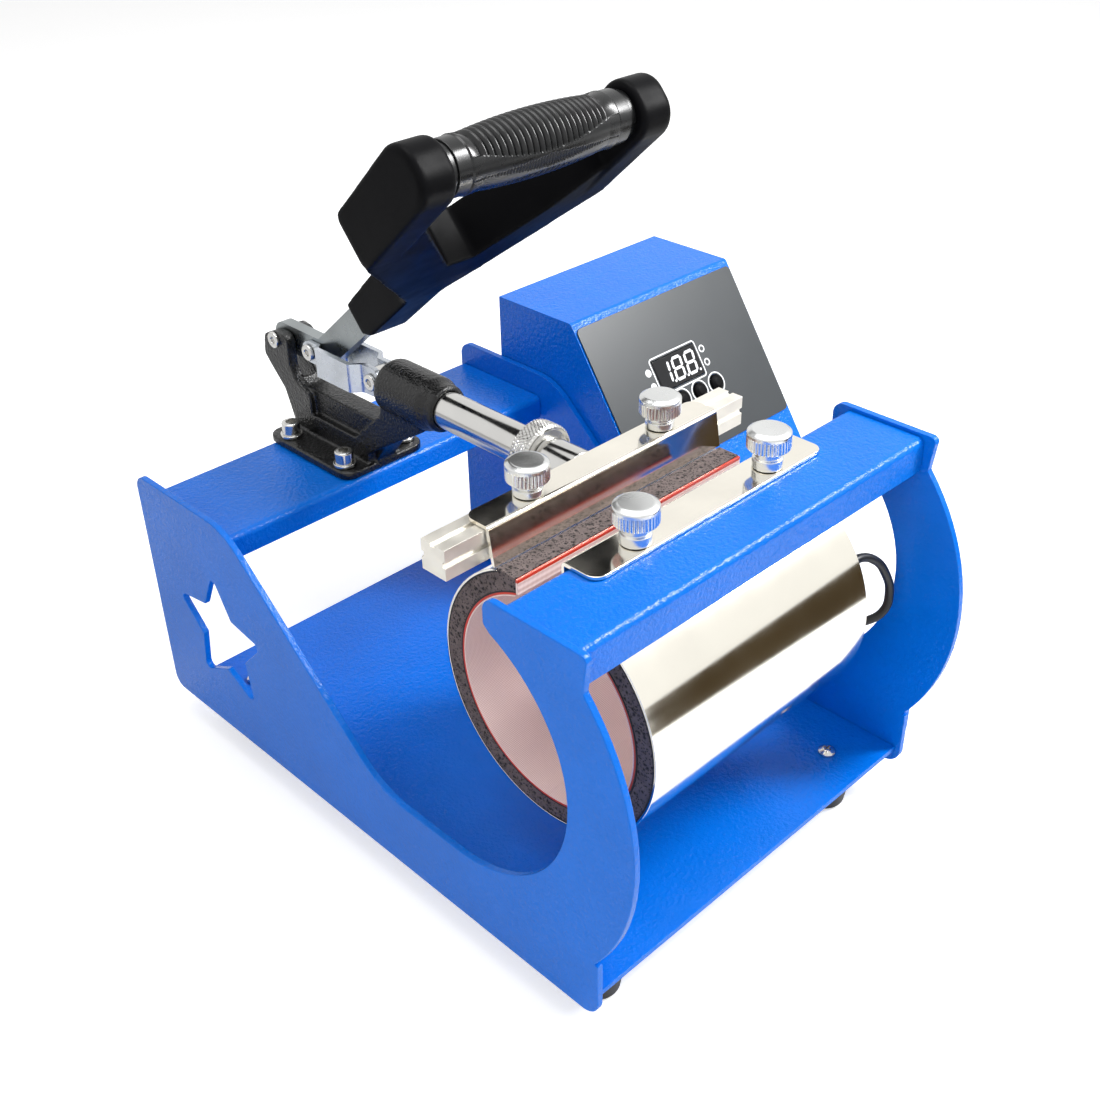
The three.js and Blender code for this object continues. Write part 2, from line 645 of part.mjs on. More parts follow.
function frame() {
  const group = new THREE.Group();
  const plate = sidePlateOutline();
  const rightX = plateInsideX;
  const leftX = -FRAME_WIDTH / 2;
  const star = starOutline(-STAR_SETBACK, STAR_HEIGHT);
  const left = cut(
    prismX(plate, leftX, leftX + PLATE_THICKNESS),
    prismX(star, leftX - CUT_OVERRUN, leftX + PLATE_THICKNESS + CUT_OVERRUN),
  );
  group.add(piece("left_side_plate", left, "bluePaint"));

  const lugFrontY = toeY + LUG_SETBACK;
  const lugOutline = rounded([
    [rightX + CUT_OVERRUN, LUG_BOTTOM],
    [FRAME_WIDTH / 2 + LUG_REACH, LUG_BOTTOM, LUG_CORNER],
    [FRAME_WIDTH / 2 + LUG_REACH, LUG_BOTTOM + LUG_HEIGHT, LUG_CORNER],
    [rightX + CUT_OVERRUN, LUG_BOTTOM + LUG_HEIGHT],
  ]);
  const lug = prismY(lugOutline, lugFrontY, lugFrontY + PLATE_THICKNESS);
  const right = joined(prismX(plate, rightX, rightX + PLATE_THICKNESS), lug);
  group.add(piece("right_side_plate", right, "bluePaint"));

  const baseOutline = rectangle(
    -plateInsideX + SEAT_GAP,
    plateInsideX - SEAT_GAP,
    toeY + BASE_FRONT_MARGIN,
    -BASE_REAR_MARGIN,
  );
  const screwHoles = footPlaces().map(([, x, y]) =>
    rod(FOOT_SCREW_RADIUS + SEAT_GAP, baseBottom - CUT_OVERRUN, BASE_TOP + CUT_OVERRUN, "z", [x, y, 0]),
  );
  const base = cut(prismZ(baseOutline, baseBottom, BASE_TOP), ...screwHoles);
  group.add(piece("base_plate", base, "bluePaint"));

  const boltHoles = clampBoltPlaces().map(([, x, y]) =>
    rod(BOLT_RADIUS + SEAT_GAP, rearBarTop - SHEET - CUT_OVERRUN, rearBarTop + CUT_OVERRUN, "z", [x, y, 0]),
  );
  const rear = cut(crossbar(-REAR_BAR_INSET, REAR_BAR_DEPTH, rearBarTop, REAR_BAR_FLANGE), ...boltHoles);
  group.add(piece("rear_crossbar", rear, "bluePaint"));

  const thumbHoles = thumbXs.map((x) =>
    rod(
      THUMB_SHANK_RADIUS + RUNNING_GAP,
      frontBarTop - SHEET - CUT_OVERRUN,
      frontBarTop + CUT_OVERRUN,
      "z",
      [x, frontThumbY, 0],
    ),
  );
  const front = cut(crossbar(FRONT_BAR_Y, FRONT_BAR_DEPTH, frontBarTop, FRONT_BAR_FLANGE), ...thumbHoles);
  group.add(piece("front_crossbar", front, "bluePaint"));
  return group;
}

function feet() {
  const group = new THREE.Group();
  const top = baseBottom - SEAT_GAP;
  const bottom = top - FOOT_HEIGHT;
  const screwEnd = BASE_TOP - FOOT_SCREW_LENGTH;
  for (const [corner, x, y] of footPlaces()) {
    const cone = turned(
      [
        [0, bottom],
        [FOOT_BOTTOM_RADIUS - FOOT_EDGE, bottom],
        [FOOT_BOTTOM_RADIUS, bottom + FOOT_EDGE],
        [FOOT_TOP_RADIUS, top - FOOT_EDGE],
        [FOOT_TOP_RADIUS - FOOT_EDGE, top],
        [0, top],
      ],
      "z",
      [x, y, 0],
    );
    const bore = rod(FOOT_SCREW_RADIUS + SEAT_GAP, screwEnd - SEAT_GAP, top + CUT_OVERRUN, "z", [x, y, 0]);
    group.add(piece("foot_" + corner, cut(cone, bore), "blackRubber"));

    const headBottom = BASE_TOP + SEAT_GAP;
    const headTop = headBottom + FOOT_SCREW_HEAD_HEIGHT;
    const screw = turned(
      [
        [0, screwEnd],
        [FOOT_SCREW_RADIUS, screwEnd],
        [FOOT_SCREW_RADIUS, headBottom],
        [FOOT_SCREW_HEAD_RADIUS, headBottom],
        [FOOT_SCREW_HEAD_RADIUS, (headBottom + headTop) / 2],
        [FOOT_SCREW_HEAD_RADIUS / 2, headTop],
        [0, headTop],
      ],
      "z",
      [x, y, 0],
    );
    group.add(piece("foot_screw_" + corner, screw, "brightSteel"));
  }
  return group;
}

// One layer of the band: a ring, open at the top between the two brackets.
function bandLayer(innerRadius, thickness) {
  const fromX = centerX - HEATER_LENGTH / 2;
  const toX = centerX + HEATER_LENGTH / 2;
  const place = [0, heaterY, heaterZ];
  const ring = cut(
    rod(innerRadius + thickness, fromX, toX, "x", place),
    rod(innerRadius, fromX - CUT_OVERRUN, toX + CUT_OVERRUN, "x", place),
  );
  const rearEndY = bandEndY - BAND_END_WIDTH;
  const frontEndY = FRONT_BAR_Y + SEAT_GAP + BRIGHT_SHEET + BAND_FRONT_LIP;
  const acrossX = [fromX - CUT_OVERRUN, toX + CUT_OVERRUN];
  const overTop = heaterZ + heaterRadius + CUT_OVERRUN;
  return cut(
    ring,
    block(acrossX, [frontEndY, rearEndY], [heaterZ, overTop]),
    block(acrossX, [rearEndY - CUT_OVERRUN, heaterY + heaterRadius], [bandEndZ, overTop]),
    block(
      acrossX,
      [heaterY - heaterRadius, frontEndY + CUT_OVERRUN],
      [frontFlangeBottom - SEAT_GAP, overTop],
    ),
  );
}

function heaterBand() {
  const group = new THREE.Group();
  const foamInner = HEATER_BORE_RADIUS + LINER_THICKNESS + SEAT_GAP;
  const shellInner = foamInner + FOAM_THICKNESS + SEAT_GAP;
  group.add(piece("heating_liner", bandLayer(HEATER_BORE_RADIUS, LINER_THICKNESS), "silicone"));
  group.add(piece("heater_foam", bandLayer(foamInner, FOAM_THICKNESS), "foam"));
  group.add(piece("heater_shell", bandLayer(shellInner, SHELL_THICKNESS), "brightSteel"));
  return group;
}

// A thumbscrew: shank, turned neck and a straight-knurled head with a low dome.
function thumbscrew(x, y, seatZ, neckLength) {
  const headBottom = seatZ + neckLength;
  const headTop = headBottom + THUMB_HEAD_LENGTH;
  const stem = turned(
    [
      [0, seatZ - THUMB_SHANK_LENGTH],
      [THUMB_SHANK_RADIUS, seatZ - THUMB_SHANK_LENGTH],
      [THUMB_SHANK_RADIUS, seatZ],
      [THUMB_NECK_RADIUS, seatZ],
      [THUMB_NECK_RADIUS, headBottom - THUMB_DOME],
      [THUMB_HEAD_RADIUS - THUMB_DOME, headBottom],
      [THUMB_HEAD_RADIUS - THUMB_DOME, headTop],
      [THUMB_HEAD_RADIUS - 2 * THUMB_DOME, headTop + THUMB_DOME],
      [0, headTop + THUMB_DOME],
    ],
    "z",
    [x, y, 0],
  );
  const head = prismZ(knurlOutline(THUMB_HEAD_RADIUS, THUMB_TEETH), headBottom, headTop).translate([x, y, 0]);
  return joined(stem, head);
}

function frontBracket() {
  const group = new THREE.Group();
  const flangeFaceY = FRONT_BAR_Y + SEAT_GAP;
  const bottom = frontBarTop + SEAT_GAP;
  const top = bottom + BRIGHT_SHEET;
  const frontY = flangeFaceY + BRIGHT_SHEET - FRONT_BRACKET_REACH;
  const angle = prismX(
    rounded([
      [frontY, bottom],
      [frontY, top],
      [flangeFaceY + BRIGHT_SHEET, top, BRIGHT_SHEET],
      [flangeFaceY + BRIGHT_SHEET, frontFlangeBottom],
      [flangeFaceY, frontFlangeBottom],
      [flangeFaceY, bottom],
    ]),
    centerX - BRACKET_LENGTH / 2,
    centerX + BRACKET_LENGTH / 2,
  );
  const plan = prismZ(
    rounded([
      [centerX - BRACKET_LENGTH / 2, frontY, BRACKET_CORNER],
      [centerX + BRACKET_LENGTH / 2, frontY, BRACKET_CORNER],
      [centerX + BRACKET_LENGTH / 2, flangeFaceY + BRIGHT_SHEET + CUT_OVERRUN],
      [centerX - BRACKET_LENGTH / 2, flangeFaceY + BRIGHT_SHEET + CUT_OVERRUN],
    ]),
    frontFlangeBottom - CUT_OVERRUN,
    top + CUT_OVERRUN,
  );
  const holes = thumbXs.map((x) =>
    rod(THUMB_SHANK_RADIUS + RUNNING_GAP, bottom - CUT_OVERRUN, top + CUT_OVERRUN, "z", [x, frontThumbY, 0]),
  );
  group.add(piece("front_heater_bracket", cut(angle.intersect(plan), ...holes), "brightSteel"));
  thumbXs.forEach((x, index) => {
    const side = index === 0 ? "left" : "right";
    const screw = thumbscrew(x, frontThumbY, top + SEAT_GAP, FRONT_THUMB_NECK);
    group.add(piece("front_thumbscrew_" + side, screw, "brightSteel"));
  });
  return group;
}

// The carriage: pressure bar, hub and the rear bracket that pulls the band's rear end.
function carriage() {
  const group = new THREE.Group();
  const barLeft = centerX - BAR_LENGTH / 2;
  const barRight = centerX + BAR_LENGTH / 2;
  const middleZ = (barBottom + barTop) / 2;
  const grooveZ = [middleZ - BAR_GROOVE_WIDTH / 2, middleZ + BAR_GROOVE_WIDTH / 2];
  const overLength = [barLeft - CUT_OVERRUN, barRight + CUT_OVERRUN];
  const middleY = (barFrontY + barRearY) / 2;
  const bar = cut(
    block([barLeft, barRight], [barFrontY, barRearY], [barBottom, barTop]),
    block(overLength, [barFrontY - CUT_OVERRUN, barFrontY + BAR_GROOVE_DEPTH], grooveZ),
    block(overLength, [barRearY - BAR_GROOVE_DEPTH, barRearY + CUT_OVERRUN], grooveZ),
    block(
      overLength,
      [middleY - BAR_GROOVE_WIDTH / 2, middleY + BAR_GROOVE_WIDTH / 2],
      [barTop - BAR_GROOVE_DEPTH, barTop + CUT_OVERRUN],
    ),
    ...thumbXs.map((x) =>
      rod(
        THUMB_SHANK_RADIUS + RUNNING_GAP,
        barBottom - CUT_OVERRUN,
        barTop + CUT_OVERRUN,
        "z",
        [x, rearThumbY, 0],
      ),
    ),
  );
  group.add(piece("pressure_bar", bar, "barSteel"));

  const bottom = barTop + SEAT_GAP;
  const top = bottom + BRIGHT_SHEET;
  const rearY = barFrontY + REAR_BRACKET_REACH - BRIGHT_SHEET;
  const lowEdge = bandEndZ + SEAT_GAP;
  const faceY = bandEndY + SEAT_GAP;
  const angle = prismX(
    rounded([
      [rearY, bottom],
      [rearY, top],
      [barFrontY - SEAT_GAP - BRIGHT_SHEET, top, BRIGHT_SHEET],
      [faceY, lowEdge],
      [faceY + BRIGHT_SHEET, lowEdge],
      [barFrontY - SEAT_GAP, bottom],
    ]),
    centerX - BRACKET_LENGTH / 2,
    centerX + BRACKET_LENGTH / 2,
  );
  const holes = thumbXs.map((x) =>
    rod(THUMB_SHANK_RADIUS + RUNNING_GAP, bottom - CUT_OVERRUN, top + CUT_OVERRUN, "z", [x, rearThumbY, 0]),
  );
  group.add(piece("rear_heater_bracket", cut(angle, ...holes), "brightSteel"));
  thumbXs.forEach((x, index) => {
    const side = index === 0 ? "left" : "right";
    const screw = thumbscrew(x, rearThumbY, top + SEAT_GAP, REAR_THUMB_NECK);
    group.add(piece("rear_thumbscrew_" + side, screw, "brightSteel"));
  });

  const onAxis = [centerX, 0, AXIS_HEIGHT];
  const hub = cut(
    rod(HUB_RADIUS, barRearY + SEAT_GAP, hubFrontY, "y", onAxis),
    rod(ROD_NECK_RADIUS + SEAT_GAP, barRearY, hubFrontY + CUT_OVERRUN, "y", onAxis),
  );
  group.add(piece("bar_hub", hub, "brightSteel"));

  const collarFrontY = collarRearY - COLLAR_LENGTH;
  const knurled = prismY(knurlOutline(COLLAR_RADIUS, COLLAR_TEETH), collarFrontY, collarRearY);
  const bore = rod(ROD_NECK_RADIUS + SEAT_GAP, collarFrontY - CUT_OVERRUN, collarRearY + CUT_OVERRUN, "y", [
    0, 0, 0,
  ]);
  const collar = cut(knurled, bore).translate(onAxis);
  group.add(piece("adjuster_collar", collar, "brightSteel"));
  return group;
}

// The plunger: a polished rod with a flat tongue for the links at its back and a thin neck in front.
function plunger() {
  const onAxis = [centerX, 0, AXIS_HEIGHT];
  const shoulderY = collarRearY + SEAT_GAP;
  const bodyRearY = barrelRearY - CLEVIS_LENGTH / 2;
  const body = turned(
    [
      [0, barRearY + SEAT_GAP],
      [ROD_NECK_RADIUS, barRearY + SEAT_GAP],
      [ROD_NECK_RADIUS, shoulderY],
      [ROD_RADIUS, shoulderY],
      [ROD_RADIUS, bodyRearY],
      [0, bodyRearY],
    ],
    "y",
    onAxis,
  );
  const tongueX = [centerX - CLEVIS_THICKNESS / 2, centerX + CLEVIS_THICKNESS / 2];
  const tongue = joined(
    block(
      tongueX,
      [bodyRearY - CUT_OVERRUN, plungerPinY],
      [AXIS_HEIGHT - CLEVIS_RADIUS, AXIS_HEIGHT + CLEVIS_RADIUS],
    ),
    rod(CLEVIS_RADIUS, ...tongueX, "x", [0, plungerPinY, AXIS_HEIGHT]),
  );
  const pinHole = rod(
    PIN_RADIUS + SEAT_GAP,
    tongueX[0] - CUT_OVERRUN,
    tongueX[1] + CUT_OVERRUN,
    "x",
    [0, plungerPinY, AXIS_HEIGHT],
  );
  return piece("plunger_rod", cut(joined(body, tongue), pinHole), "brightSteel");
}

// A rivet along X: a plain shank between two hollow heads.
function doubleRivet(name, y, z, halfGrip) {
  const headInside = halfGrip + SEAT_GAP;
  const headOutside = headInside + EYELET_HEIGHT;
  const rivet = turned(
    [
      [0, -headInside],
      [EYELET_HOLLOW, -headInside],
      [EYELET_HOLLOW, -headOutside],
      [EYELET_RADIUS, -headOutside],
      [EYELET_RADIUS, -headInside],
      [PIN_RADIUS, -headInside],
      [PIN_RADIUS, headInside],
      [EYELET_RADIUS, headInside],
      [EYELET_RADIUS, headOutside],
      [EYELET_HOLLOW, headOutside],
      [EYELET_HOLLOW, headInside],
      [0, headInside],
    ],
    "x",
    [centerX, y, z],
  );
  return piece(name, rivet, "brightSteel");
}

// One link, seen from above as a strip that bows out in the middle, and from the side as a bar with round ends.
function link(side) {
  const inside = linkInsideX;
  const bowed = inside + LINK_BULGE;
  const middleY = (togglePinY + plungerPinY) / 2;
  const bowRear = middleY + LINK_BULGE_LENGTH / 2;
  const bowFront = middleY - LINK_BULGE_LENGTH / 2;
  const rearY = togglePinY + LINK_END_RADIUS;
  const frontY = plungerPinY - LINK_FRONT_RADIUS;
  const innerLine = [
    [inside, rearY],
    [inside, bowRear + LINK_BULGE],
    [bowed, bowRear],
    [bowed, bowFront],
    [inside, bowFront - LINK_BULGE],
    [inside, frontY],
  ];
  const outerLine = innerLine.map(([x, y]) => [x + LINK_THICKNESS, y]).reverse();
  const plan = [...innerLine, ...outerLine].map(([x, y]) => [centerX + side * x, y]);
  const bottom = AXIS_HEIGHT - LINK_DROP;
  const top = AXIS_HEIGHT + LINK_RISE;
  const strip = prismZ(plan, bottom - CUT_OVERRUN, top + CUT_OVERRUN);
  const reach = inside + LINK_BULGE + LINK_THICKNESS + CUT_OVERRUN;
  const edges = [centerX - reach, centerX + reach];
  const middle = rounded([
    [togglePinY, AXIS_HEIGHT - LINK_END_RADIUS],
    [bowRear + LINK_BULGE, AXIS_HEIGHT - LINK_END_RADIUS, LINK_END_RADIUS],
    [bowRear, bottom, LINK_END_RADIUS],
    [bowFront, bottom, LINK_END_RADIUS],
    [plungerPinY, AXIS_HEIGHT - LINK_FRONT_RADIUS],
    [plungerPinY, AXIS_HEIGHT + LINK_FRONT_RADIUS],
    [bowFront, top, LINK_END_RADIUS],
    [bowRear, top, LINK_END_RADIUS],
    [bowRear + LINK_BULGE, AXIS_HEIGHT + LINK_END_RADIUS, LINK_END_RADIUS],
    [togglePinY, AXIS_HEIGHT + LINK_END_RADIUS],
  ]);
  const sideView = joined(
    prismX(middle, ...edges),
    rod(LINK_END_RADIUS, ...edges, "x", [0, togglePinY, AXIS_HEIGHT]),
    rod(LINK_FRONT_RADIUS, ...edges, "x", [0, plungerPinY, AXIS_HEIGHT]),
  );
  const holes = [togglePinY, plungerPinY].map((y) =>
    rod(PIN_RADIUS + RUNNING_GAP, ...edges, "x", [0, y, AXIS_HEIGHT]),
  );
  return cut(strip.intersect(sideView), ...holes);
}

function links() {
  const group = new THREE.Group();
  for (const [word, side] of [["left", -1], ["right", 1]]) {
    group.add(piece("link_" + word, link(side), "brightSteel"));
    // Rivet in the link's rear eye: its stub ends at the link's inner face.
    const headInside = linkInsideX + LINK_THICKNESS + SEAT_GAP;
    const profile = [
      [0, linkInsideX],
      [PIN_RADIUS, linkInsideX],
      [PIN_RADIUS, headInside],
      [EYELET_RADIUS, headInside],
      [EYELET_RADIUS, headInside + EYELET_HEIGHT],
      [EYELET_HOLLOW, headInside + EYELET_HEIGHT],
      [EYELET_HOLLOW, headInside],
      [0, headInside],
    ].map(([radius, along]) => [radius, side * along]);
    const rivet = turned(profile, "x", [centerX, togglePinY, AXIS_HEIGHT]);
    group.add(piece("toggle_rivet_" + word, rivet, "brightSteel"));
  }
  return group;
}

// The cast clamp base: bolted flange, raised block, web, guide barrel and the two leaning ears.
function clampBase() {
  const halfWidth = FLANGE_WIDTH / 2;
  const flange = prismZ(
    rectangle(centerX - halfWidth, centerX + halfWidth, flangeFrontY, flangeRearY, FLANGE_CORNER),
    flangeBottom,
    flangeTop,
  );
  const blockTop = flangeTop + BLOCK_TOP;
  const halfBlock = BLOCK_WIDTH / 2;
  const earFrontY = leverPivotY - EAR_FRONT;
  const blockFrontY = flangeFrontY + BLOCK_INSET;
  const blockProfile = rounded([
    [blockFrontY, flangeTop - CUT_OVERRUN],
    [blockFrontY, blockTop, BLOCK_TOP / 4],
    [earFrontY - EAR_FOOT_LENGTH, blockTop, BLOCK_TOP / 2],
    [flangeRearY - FLANGE_CORNER / 2, flangeTop + BLOCK_TOP / 2, BLOCK_TOP / 4],
    [flangeRearY - FLANGE_CORNER / 2, flangeTop - CUT_OVERRUN],
  ]);
  const raised = prismX(blockProfile, centerX - halfBlock, centerX + halfBlock);

  const webProfile = rounded([
    [blockFrontY + BLOCK_TOP, blockTop - CUT_OVERRUN],
    [blockFrontY, blockTop - BLOCK_TOP / 2],
    [barrelRearY - WEB_REACH, AXIS_HEIGHT - BARREL_RADIUS, BARREL_ROUNDING],
    [barrelRearY - WEB_REACH, AXIS_HEIGHT - ROD_RADIUS],
    [barrelRearY - CUT_OVERRUN, AXIS_HEIGHT - ROD_RADIUS],
    [barrelRearY - CUT_OVERRUN, AXIS_HEIGHT - BARREL_RADIUS, BARREL_ROUNDING],
  ]);
  const web = prismX(webProfile, centerX - WEB_THICKNESS / 2, centerX + WEB_THICKNESS / 2);

  const onAxis = [centerX, 0, AXIS_HEIGHT];
  const barrel = turned(
    [
      [0, barrelFrontY],
      [BARREL_LIP_RADIUS - BARREL_ROUNDING / 4, barrelFrontY],
      [BARREL_LIP_RADIUS, barrelFrontY + BARREL_ROUNDING / 4],
      [BARREL_LIP_RADIUS, barrelFrontY + BARREL_ROUNDING],
      [BARREL_RADIUS, barrelFrontY + 2 * BARREL_ROUNDING],
      ...arc(
        BARREL_RADIUS - BARREL_ROUNDING,
        barrelRearY - BARREL_ROUNDING,
        BARREL_ROUNDING,
        0,
        90,
        CORNER_STEPS,
      ),
      [0, barrelRearY],
    ],
    "y",
    onAxis,
  );
  const bore = rod(
    ROD_RADIUS + RUNNING_GAP,
    barrelFrontY - CUT_OVERRUN,
    barrelRearY + CUT_OVERRUN,
    "y",
    onAxis,
  );

  const waistZ = flangeTop + EAR_WAIST_RISE;
  const earTop = AXIS_HEIGHT + EAR_TOP;
  const earRearY = leverPivotY + EAR_REAR;
  const earFootFront = flangeRearY - EAR_FOOT_LENGTH / 2;
  const earOutline = rounded([
    [earFootFront, flangeTop],
    [flangeRearY - FLANGE_CORNER / 2, flangeTop],
    [flangeRearY + LEVER_PIVOT_INSET / 2, waistZ, EAR_CORNER],
    [earRearY, (waistZ + earTop) / 2, EAR_CORNER],
    [earRearY - EAR_CORNER / 2, earTop - EAR_CORNER, EAR_CORNER],
    [leverPivotY, earTop, EAR_CORNER],
    [earFrontY, earTop, EAR_CORNER],
    [earFrontY, AXIS_HEIGHT - LEVER_LEG_WIDTH / 2 - EAR_CORNER, EAR_CORNER],
    [earFootFront, waistZ - EAR_CORNER, EAR_CORNER],
  ]);
  const earInside = EAR_GAP / 2;
  const ears = [-1, 1].map((side) => {
    const faces = [centerX + side * earInside, centerX + side * (earInside + EAR_THICKNESS)].sort((a, b) => a - b);
    return prismX(earOutline, ...faces);
  });
  const outside = earInside + EAR_THICKNESS + CUT_OVERRUN;
  const pivotHole = rod(
    PIN_RADIUS + SEAT_GAP,
    centerX - outside,
    centerX + outside,
    "x",
    [0, leverPivotY, AXIS_HEIGHT],
  );
  const boltHoles = clampBoltPlaces().map(([, x, y]) =>
    rod(BOLT_RADIUS + SEAT_GAP, flangeBottom - CUT_OVERRUN, flangeTop + CUT_OVERRUN, "z", [x, y, 0]),
  );
  return cut(joined(flange, raised, web, barrel, ...ears), bore, pivotHole, ...boltHoles);
}

function clamp() {
  const group = new THREE.Group();
  group.add(piece("clamp_base", clampBase(), "blackCasting"));
  const headBottom = flangeTop + SEAT_GAP + BOLT_WASHER_THICKNESS;
  const headTop = headBottom + BOLT_HEAD_HEIGHT;
  const nutTop = rearBarTop - SHEET - SEAT_GAP;
  for (const [corner, x, y] of clampBoltPlaces()) {
    const body = turned(
      [
        [0, nutTop - NUT_HEIGHT - CUT_OVERRUN],
        [BOLT_RADIUS, nutTop - NUT_HEIGHT - CUT_OVERRUN],
        [BOLT_RADIUS, flangeTop + SEAT_GAP],
        [BOLT_WASHER_RADIUS, flangeTop + SEAT_GAP],
        [BOLT_WASHER_RADIUS, headBottom],
        [BOLT_HEAD_RADIUS, headBottom],
        [BOLT_HEAD_RADIUS, headTop],
        [0, headTop],
      ],
      "z",
      [x, y, 0],
    );
    const nut = hexagon(NUT_RADIUS, nutTop - NUT_HEIGHT, nutTop, [x, y, 0]);
    const socket = hexagon(BOLT_SOCKET_RADIUS, headTop - BOLT_SOCKET_DEPTH, headTop + CUT_OVERRUN, [x, y, 0]);
    group.add(piece("clamp_bolt_" + corner, cut(joined(body, nut), socket), "brightSteel"));
  }
  group.add(plunger());
  group.add(links());
  const halfGrip = linkInsideX + LINK_THICKNESS;
  group.add(doubleRivet("plunger_pin", plungerPinY, AXIS_HEIGHT, halfGrip));
  group.add(doubleRivet("lever_pivot_pin", leverPivotY, AXIS_HEIGHT, EAR_GAP / 2 + EAR_THICKNESS));
  return group;
}

// The lever and handle, drawn in a frame at the toggle pin whose Z runs up the raised arm.
function handle() {
  const group = new THREE.Group();
  const legX = [centerX - LEVER_THICKNESS / 2, centerX + LEVER_THICKNESS / 2];
  const halfLeg = LEVER_LEG_WIDTH / 2;
  const leg = joined(
    block(legX, [togglePinY - LEVER_TIP, leverPivotY], [AXIS_HEIGHT - halfLeg, AXIS_HEIGHT + halfLeg]),
    rod(halfLeg, ...legX, "x", [0, leverPivotY, AXIS_HEIGHT]),
  );
  const tilt = 90 - HANDLE_RAISE;
  const armY = [-LEVER_ARM_DROP - LEVER_ARM_WIDTH / 2, -LEVER_ARM_DROP + LEVER_ARM_WIDTH / 2];
  const arm = block(legX, armY, [0, LEVER_ARM_LENGTH])
    .rotate([tilt, 0, 0])
    .translate([0, togglePinY, AXIS_HEIGHT]);
  const eyes = [leverPivotY, togglePinY].map((y) =>
    rod(PIN_RADIUS + RUNNING_GAP, legX[0] - CUT_OVERRUN, legX[1] + CUT_OVERRUN, "x", [0, y, AXIS_HEIGHT]),
  );
  group.add(piece("lever_arm", cut(joined(leg, arm), ...eyes), "brushedSteel"));
  const stub = rod(PIN_RADIUS, ...legX, "x", [0, togglePinY, AXIS_HEIGHT]);
  group.add(piece("toggle_pin", stub, "brightSteel"));

  const half = HANDLE_HALF_WIDTH;
  const capInside = half - HANDLE_CAP_WIDTH;
  const capEnd = GRIP_DISTANCE + HANDLE_CAP_RADIUS / 2;
  const rightSide = [
    [HANDLE_STEM_HALF, HANDLE_STEM_START, HANDLE_EDGE],
    [HANDLE_STEM_HALF, HANDLE_FORK_START, HANDLE_STEM_HALF],
    [half, HANDLE_FORK_END, HANDLE_STEM_HALF],
    [half, capEnd, HANDLE_EDGE],
    [capInside, capEnd, HANDLE_EDGE],
    [capInside, HANDLE_OPENING_END, HANDLE_EDGE],
    [HANDLE_CROTCH_HALF, HANDLE_CROTCH, HANDLE_EDGE],
  ];
  const leftSide = rightSide.map(([x, z, radius]) => [-x, z, radius]).reverse();
  const halfThickness = HANDLE_THICKNESS / 2;
  const sideOutline = rounded([
    [-HANDLE_STEM_DEPTH, HANDLE_STEM_START],
    [-HANDLE_BELLY_DEPTH, HANDLE_BELLY_START, HANDLE_EDGE],
    [-HANDLE_BELLY_DEPTH, HANDLE_BELLY_END, HANDLE_HALF_WIDTH],
    [-halfThickness, HANDLE_FORK_END, HANDLE_HALF_WIDTH],
    [-halfThickness, capEnd],
    [halfThickness, capEnd],
    [halfThickness, HANDLE_FORK_END, HANDLE_HALF_WIDTH],
    [HANDLE_STEM_TOP, HANDLE_STEM_START],
  ]);
  const fork = prismY(rounded([...rightSide, ...leftSide]), -HANDLE_BELLY_DEPTH, halfThickness).intersect(
    prismX(sideOutline, -half, half),
  );
  const capStart = HANDLE_FORK_END - 2 * HANDLE_EDGE;
  const capTop = GRIP_DISTANCE + HANDLE_CAP_RADIUS;
  const capOutline = rounded([
    [-HANDLE_CAP_DEPTH, capStart, 2 * HANDLE_EDGE],
    [halfThickness + HANDLE_EDGE, capStart, 2 * HANDLE_EDGE],
    [HANDLE_CAP_RADIUS, capTop, HANDLE_CAP_RADIUS - HANDLE_EDGE],
    [-HANDLE_CAP_RADIUS, capTop, HANDLE_CAP_RADIUS - HANDLE_EDGE],
  ]);
  const caps = [-1, 1].map((side) =>
    prismX(capOutline, ...[side * capInside, side * half].sort((a, b) => a - b)),
  );
  const socketHalf = LEVER_THICKNESS / 2 + SEAT_GAP;
  const socket = block(
    [-socketHalf, socketHalf],
    [armY[0] - SEAT_GAP, armY[1] + SEAT_GAP],
    [HANDLE_STEM_START - CUT_OVERRUN, LEVER_ARM_LENGTH + SEAT_GAP],
  );
  const raised = (solid) => solid.rotate([tilt, 0, 0]).translate([centerX, togglePinY, AXIS_HEIGHT]);
  const forkSolid = raised(cut(joined(fork, ...caps), socket));
  group.add(piece("handle_fork", forkSolid, "blackPlastic"));

  const ribPitch = GRIP_RIBBED_LENGTH / GRIP_RIBS;
  const ribbedStart = -GRIP_RIBBED_LENGTH / 2;
  const gripEnd = capInside - SEAT_GAP;
  const profile = [
    [0, -gripEnd],
    [GRIP_NECK_RADIUS, -gripEnd],
    [GRIP_NECK_RADIUS, -gripEnd + GRIP_NECK_LENGTH],
    [GRIP_VALLEY_RADIUS, ribbedStart],
  ];
  for (let rib = 0; rib < GRIP_RIBS; rib += 1) {
    profile.push([GRIP_RIB_RADIUS, ribbedStart + (rib + 1 / 2) * ribPitch]);
    profile.push([GRIP_VALLEY_RADIUS, ribbedStart + (rib + 1) * ribPitch]);
  }
  profile.push([GRIP_NECK_RADIUS, gripEnd - GRIP_NECK_LENGTH]);
  profile.push([GRIP_NECK_RADIUS, gripEnd]);
  profile.push([0, gripEnd]);
  const grip = raised(turned(profile, "x", [0, 0, GRIP_DISTANCE]));
  group.add(piece("handle_grip", grip, "blackRubber"));
  return group;
}

// Solids drawn flat on the control panel: X from the box's left side, Y up the slope, Z out of it.
function onSlope(solid) {
  return solid.rotate([BOX_SLOPE_ANGLE, 0, 0]).translate([boxLeftX, slopeTopY, boxTop]);
}

const buttonNames = ["set_button", "down_button", "up_button"];
const buttonX = (index) => BUTTON_MIDDLE_X + (index - 1) * BUTTON_PITCH;

